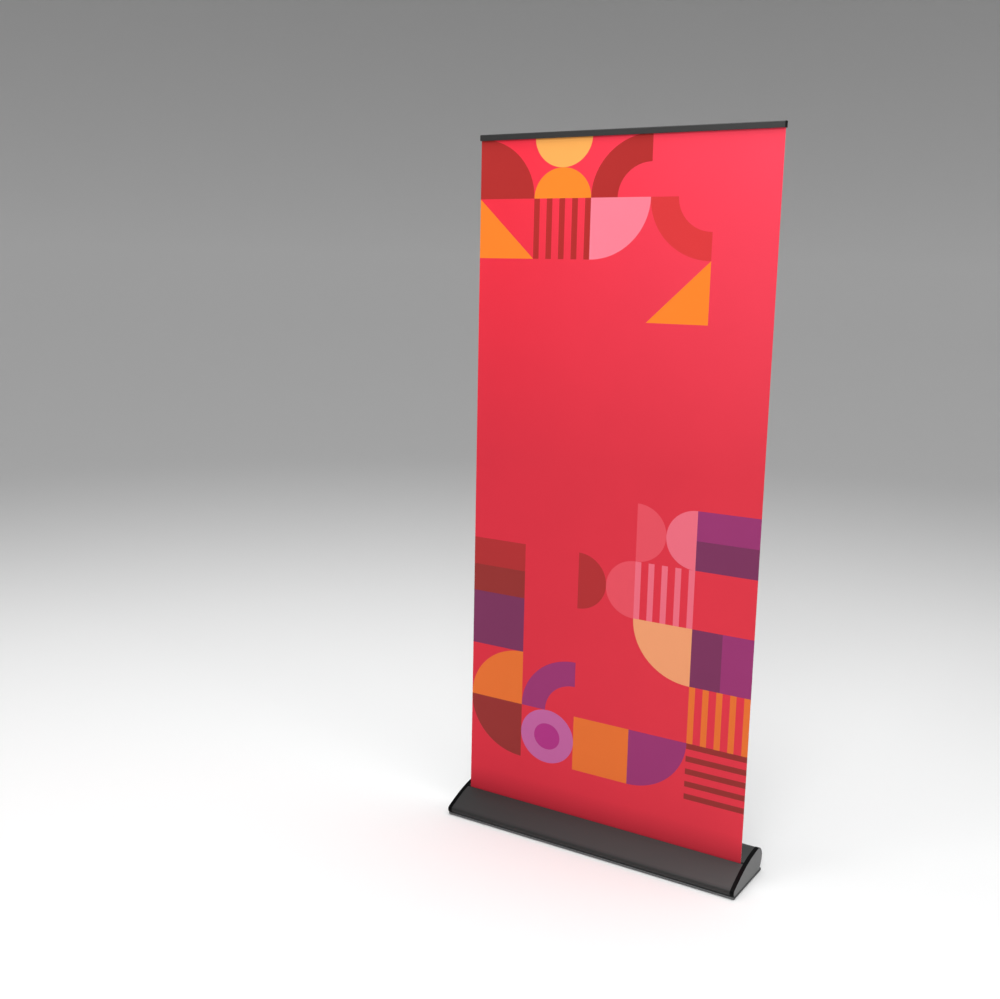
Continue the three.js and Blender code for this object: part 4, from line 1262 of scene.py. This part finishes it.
RAIL_WALL = 1.4 * MM
JAW_AXIS = Vector((0, (JAW_LOW.y + JAW_HIGH.y) / 2, JAW_HIGH.z - (JAW_HIGH.y - JAW_LOW.y) / 2))
JAW_R = (JAW_HIGH.y - JAW_LOW.y) / 2
JAW_PIN_R = 1.1 * MM
CLIP_MIDDLE_Z = (CLIP_LOW.z + CLIP_HIGH.z) / 2
CLIP_SCREWS = [centre_of("clip_screw_1").x, centre_of("clip_screw_2").x]
CLIP_SCREW_R = 1.5 * MM


def arc(a, b, radius, start, end, steps=12):
    """Points along an arc, with its angles in degrees."""
    angles = [math.radians(start + (end - start) * k / steps) for k in range(steps + 1)]
    return [(a + radius * math.cos(t), b + radius * math.sin(t), 0) for t in angles]


def clip_screw_hole(x, low_y, high_y):
    return rod("hole", CLIP_SCREW_R + GAP, low_y, high_y, "y", (x, 0, CLIP_MIDDLE_Z), 32)


def rail_profiles():
    low, high = RAIL_LOW, RAIL_HIGH
    outline = rectangle(low.y, high.y, low.z, high.z, 0.6 * MM)
    wall = RAIL_WALL
    hollow = rectangle(low.y + wall, high.y - wall, low.z + wall, high.z - wall, 0.3 * MM)
    back = extruded("hollow_profile", outline, low.x, high.x, "x", SAWN, SAWN, bore=hollow)
    cut(back, *[clip_screw_hole(x, high.y - 2 * RAIL_WALL, high.y + SAFE) for x in CLIP_SCREWS])
    piece(back, "rail", "rail_back")

    low, high = JAW_LOW, JAW_HIGH
    strip_low, strip_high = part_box("jaw_grip_strip")
    groove_y = strip_low.y - GAP
    groove = (strip_low.z - GAP, strip_high.z + GAP)
    profile = [
        (low.y, low.z, 0.6 * MM),
        (high.y, low.z, 0.3 * MM),
        (high.y, groove[0], 0.2 * MM),
        (groove_y, groove[0], 0),
        (groove_y, groove[1], 0),
        (high.y, groove[1], 0.2 * MM),
        *arc(JAW_AXIS.y, JAW_AXIS.z, JAW_R, 0, 180, 16),
    ]
    jaw = extruded("clamping_jaw", filleted(profile), low.x, high.x, "x", SAWN, SAWN)
    cut(jaw, rod("pin_hole", JAW_PIN_R + GAP, low.x - SAFE, high.x + SAFE, "x", JAW_AXIS, 32))
    piece(jaw, "rail", "rail_jaw")
    piece(bar("jaw_grip", "jaw_grip_strip", "x", 0.3 * MM, 0.1 * MM, 0.1 * MM), "rubber", "jaw_grip_strip")


def rail_end(side, word):
    node = f"rail_end_{word}"
    low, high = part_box(node)
    inner, outer = sorted((abs(low.x), abs(high.x)))
    plate_in = outer - 1 * MM
    profile = [
        (low.y, low.z, 0.6 * MM),
        (high.y, low.z, 0.6 * MM),
        (high.y, high.z, 0.6 * MM),
        *arc(JAW_AXIS.y, JAW_AXIS.z, JAW_R, 90, 180, 8),
    ]
    rounds = (0, 0.3 * MM) if side > 0 else (0.3 * MM, 0)
    ends = outwards(side, plate_in, outer)
    plate = extruded(f"rail_cover_{word}", filleted(profile), *ends, "x", *rounds)
    tab_y = (RAIL_LOW.y + RAIL_WALL + GAP, RAIL_HIGH.y - RAIL_WALL - GAP)
    tab_z = (RAIL_LOW.z + RAIL_WALL + GAP, RAIL_HIGH.z - RAIL_WALL - GAP)
    reach = outwards(side, inner, plate_in + 0.5 * MM)
    joined(plate, rod("pin", JAW_PIN_R, *reach, "x", JAW_AXIS, 24), block("tab", reach, tab_y, tab_z))
    piece(plate, "black", node)


def quadratic(a, b, c, steps=8):
    points = []
    for k in range(steps + 1):
        t = k / steps
        p = Vector(a) * (1 - t) ** 2 + Vector(b) * 2 * t * (1 - t) + Vector(c) * t * t
        points.append((p.x, p.y, 0))
    return points


COLLAR_R = 12 * MM
EAR_HALF = 5.5 * MM
SLIT_HALF = 1.2 * MM
BRACKET_HALF = CLIP_HIGH.x
BRACKET_BACK_Y = CLIP_LOW.y + 3 * MM
CLAMP_AT = Vector((0, POLE_Y + 17 * MM, CLIP_MIDDLE_Z))


def pole_clip():
    """The clip from above: bracket, arm, split collar and ears, in one outline that goes round the bore.
    Its end rounding has to stay under the outline's smallest fillet, or the ends' faces cross."""
    arm_half = 7 * MM
    bore = POLE_R + POLE_FIT
    meets_arm = math.degrees(-math.acos(arm_half / COLLAR_R))
    meets_ear = math.degrees(math.acos(EAR_HALF / COLLAR_R))
    meets_slit = math.degrees(math.acos(SLIT_HALF / bore))
    tip_y = POLE_Y + COLLAR_R * math.sin(math.radians(meets_arm))
    right = [
        (BRACKET_HALF, CLIP_LOW.y, 0.8 * MM),
        (BRACKET_HALF, BRACKET_BACK_Y, 0.8 * MM),
        *quadratic((16 * MM, BRACKET_BACK_Y), (arm_half, BRACKET_BACK_Y + 7 * MM), (arm_half, tip_y))[:-1],
        *arc(0, POLE_Y, COLLAR_R, meets_arm, meets_ear, 20),
        (EAR_HALF, CLIP_HIGH.y, 1.2 * MM),
        (SLIT_HALF, CLIP_HIGH.y, 0.3 * MM),
        *arc(0, POLE_Y, bore, meets_slit, -90, 28),
    ]
    left = [(-x, y, radius) for x, y, radius in right[:-1]][::-1]
    clip = extruded("clip_body", filleted(right + left), CLIP_LOW.z, CLIP_HIGH.z, "z", 0.25 * MM, 0.25 * MM)
    bolt_hole = rod("hole", SCREW_HOLE_R, -EAR_HALF - SAFE, EAR_HALF + SAFE, "x", CLAMP_AT, 32)
    screw_holes = [clip_screw_hole(x, CLIP_LOW.y - SAFE, BRACKET_BACK_Y + SAFE) for x in CLIP_SCREWS]
    piece(cut(clip, bolt_hole, *screw_holes), "black", "pole_clip")


def clip_screws():
    for i, x in enumerate(CLIP_SCREWS, 1):
        low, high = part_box(f"clip_screw_{i}")
        head_y = BRACKET_BACK_Y + GAP
        profile = [
            (0, low.y, 0),
            (0.6 * MM, low.y, 0),
            (CLIP_SCREW_R, low.y + 1.5 * MM, 0),
            (CLIP_SCREW_R, head_y, 0),
            (3.2 * MM, head_y, 0.2 * MM),
            (3 * MM, high.y - 0.5 * MM, 0.9 * MM),
            (0, high.y, 0),
        ]
        at = Vector((x, 0, CLIP_MIDDLE_Z))
        screw = turned(f"pan_screw_{i}", profile, "y", at, 40)
        cut(screw, *cross_recess("y", at, (high.y, 1), 3.2 * MM, 1.1 * MM))
        piece(screw, "steel", f"clip_screw_{i}")


def clamp():
    """The bolt through the collar's ears, its nut, and the lever that turns about the bolt's eye."""
    lever_low, lever_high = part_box("clip_lever")
    hub = upright(centre_of("lever_pin"))
    pin_r = 1.3 * MM
    eye_half = 2.4 * MM
    eye_z = (CLIP_MIDDLE_Z - eye_half, CLIP_MIDDLE_Z + eye_half)
    over_z = (CLIP_LOW.z - SAFE, CLIP_HIGH.z + SAFE)
    low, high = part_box("clamp_bolt")
    bolt = rod("eye_bolt", 3.2 * MM, *eye_z, "z", hub, 40, 0.4 * MM)
    joined(bolt, rod("shank", SCREW_R, low.x, hub.x - 2 * MM, "x", CLAMP_AT, 32, 0.4 * MM))
    piece(cut(bolt, rod("hole", pin_r + GAP, *over_z, "z", hub, 32)), "steel_x", "clamp_bolt")

    low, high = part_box("clamp_nut")
    nut_r = 4 * MM  # over its corners
    outline = circle(CLAMP_AT.y, CLAMP_AT.z, nut_r, 6)
    nut = extruded("hex_nut", outline, low.x, high.x, "x", 0.3 * MM, 0.3 * MM)
    cut(nut, rod("hole", SCREW_HOLE_R, low.x - SAFE, high.x + SAFE, "x", CLAMP_AT, 32))
    piece(nut, "steel_x", "clamp_nut")

    low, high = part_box("lever_pin")
    piece(rod("hinge_pin", pin_r, low.z, high.z, "z", hub, 32, 0.3 * MM), "steel", "lever_pin")

    inner_x = 14 * MM
    outer_x = lever_high.x
    grip_y = [hub.y - 4 * MM, POLE_Y + 10 * MM, POLE_Y + 2 * MM]
    profile = [
        *quadratic(*zip((hub.x + 1 * MM, inner_x, inner_x), grip_y)),
        (inner_x, POLE_Y - 14 * MM, 0.6 * MM),
        (outer_x - 1 * MM, POLE_Y - 16 * MM, 0.8 * MM),
        (outer_x, POLE_Y - 12 * MM, 1.5 * MM),
        *quadratic((outer_x, POLE_Y + 4 * MM), (outer_x, hub.y - 3 * MM), (hub.x + 4 * MM, hub.y)),
    ]
    lever = extruded("clamp_lever", filleted(profile), lever_low.z, lever_high.z, "z", 0.4 * MM, 0.4 * MM)
    joined(lever, rod("cheeks", 4.2 * MM, lever_low.z, lever_high.z, "z", hub, 40, 0.5 * MM))
    fork = rod("fork", 5.8 * MM, eye_z[0] - GAP, eye_z[1] + GAP, "z", hub, 40)
    cut(lever, fork, rod("hole", pin_r + GAP, *over_z, "z", hub, 32))
    piece(lever, "black", "clip_lever")


base_plate()
foot_pads()
rivets()
casing_shell(-1)
casing_shell(1)
slot_felts()
for side, word in ((-1, "left"), (1, "right")):
    end_cap(side, word)
    end_insert(side, word)
    cap_screws(side, word)
    rail_end(side, word)
roller()
rail_profiles()
graphic_tail()
graphic_film()
pole_socket()
pole()
shock_cord()
pole_clip()
clip_screws()
clamp()


# ---- Studio

FLOOR_R = 7.5
COVE_R = 6
WALL_TOP = 9
# Painted light fall-off: the floor and the wall turn greyer away from the object between these distances
FLOOR_FALL = (3, 11)  # distances between which the floor turns greyer
WALL_FALL = (12, 14.8)


def studio_paper():
    """The stage: pale paper, with painted light fall-off to grey away from the object."""
    n = Nodes("studio_paper")
    radius = n.node("VectorMath", {0: n.place}, operation="LENGTH")["Value"]
    floor_fall = n.spread(radius, 0, 1, *FLOOR_FALL)
    wall_fall = n.spread(radius, 0, 1, *WALL_FALL)
    base = n.mix(floor_fall, linear(246, 246, 246), linear(230, 230, 230))
    base = n.mix(wall_fall, base, linear(196, 196, 196))
    fibre = n.noise(120, detail=4)
    base = n.mix(n.spread(fibre, 0, 0.02), base, (0.5, 0.5, 0.5, 1))
    return n.set(Base_Color=base, Roughness=0.9, Specular_IOR_Level=0.1)


def cyclorama():
    """A round floor that curves up into a wall, so that every side sees the same ground."""
    bm = bmesh.new()
    profile = [(r, 0) for r in (1, 2, 4, 6, FLOOR_R)]
    for k in range(1, 25):
        angle = math.pi / 2 * k / 24
        profile.append((FLOOR_R + COVE_R * math.sin(angle), COVE_R * (1 - math.cos(angle))))
    profile.append((FLOOR_R + COVE_R, WALL_TOP))
    sides = 96
    middle = bm.verts.new((0, 0, -GAP))
    rings = []
    for r, z in profile:
        around = [(r * math.cos(t), r * math.sin(t), z - GAP) for t in round_angles(sides)]
        rings.append([bm.verts.new(p) for p in around])
    bridged(bm, rings[0], [middle])
    for inner, outer in zip(rings, rings[1:]):
        bridged(bm, outer, inner)
    mesh = bpy.data.meshes.new("cyclorama")
    bm.to_mesh(mesh)
    bm.free()
    mesh.shade_smooth()
    mesh.materials.append(studio_paper())
    stage = bpy.data.objects.new("cyclorama", mesh)
    bpy.context.scene.collection.objects.link(stage)


def softbox(name, place, target, size, power):
    data = bpy.data.lights.new(name, "AREA")
    data.shape = "DISK"
    data.size = size
    data.energy = power
    light = bpy.data.objects.new(name, data)
    light.location = place
    light.rotation_euler = (Vector(target) - Vector(place)).to_track_quat("-Z", "Y").to_euler()
    bpy.context.scene.collection.objects.link(light)


def world_light(strength):
    world = bpy.data.worlds.new("studio")
    world.use_nodes = True
    background = world.node_tree.nodes["Background"].inputs
    background["Color"].default_value = (1, 1, 1, 1)
    background["Strength"].default_value = strength
    bpy.context.scene.world = world


cyclorama()
softbox("overhead", (0.5, -0.3, 5.2), (0, 0, 0), 4.0, 168)
softbox("key", (1.5, -4.3, 4.4), (0, 0, 1.2), 2.4, 100)
softbox("fill", (-2.4, -3.8, 4.0), (0, 0, 1), 2.0, 30)
softbox("left_strip", (-4.2, -1.2, 3.0), (0, 0, 0.4), 0.5, 15)
softbox("right_strip", (3.8, -1.2, 2.8), (0, 0, 0.6), 0.5, 8)
world_light(0.4)
bpy.context.scene.view_settings.view_transform = "Standard"
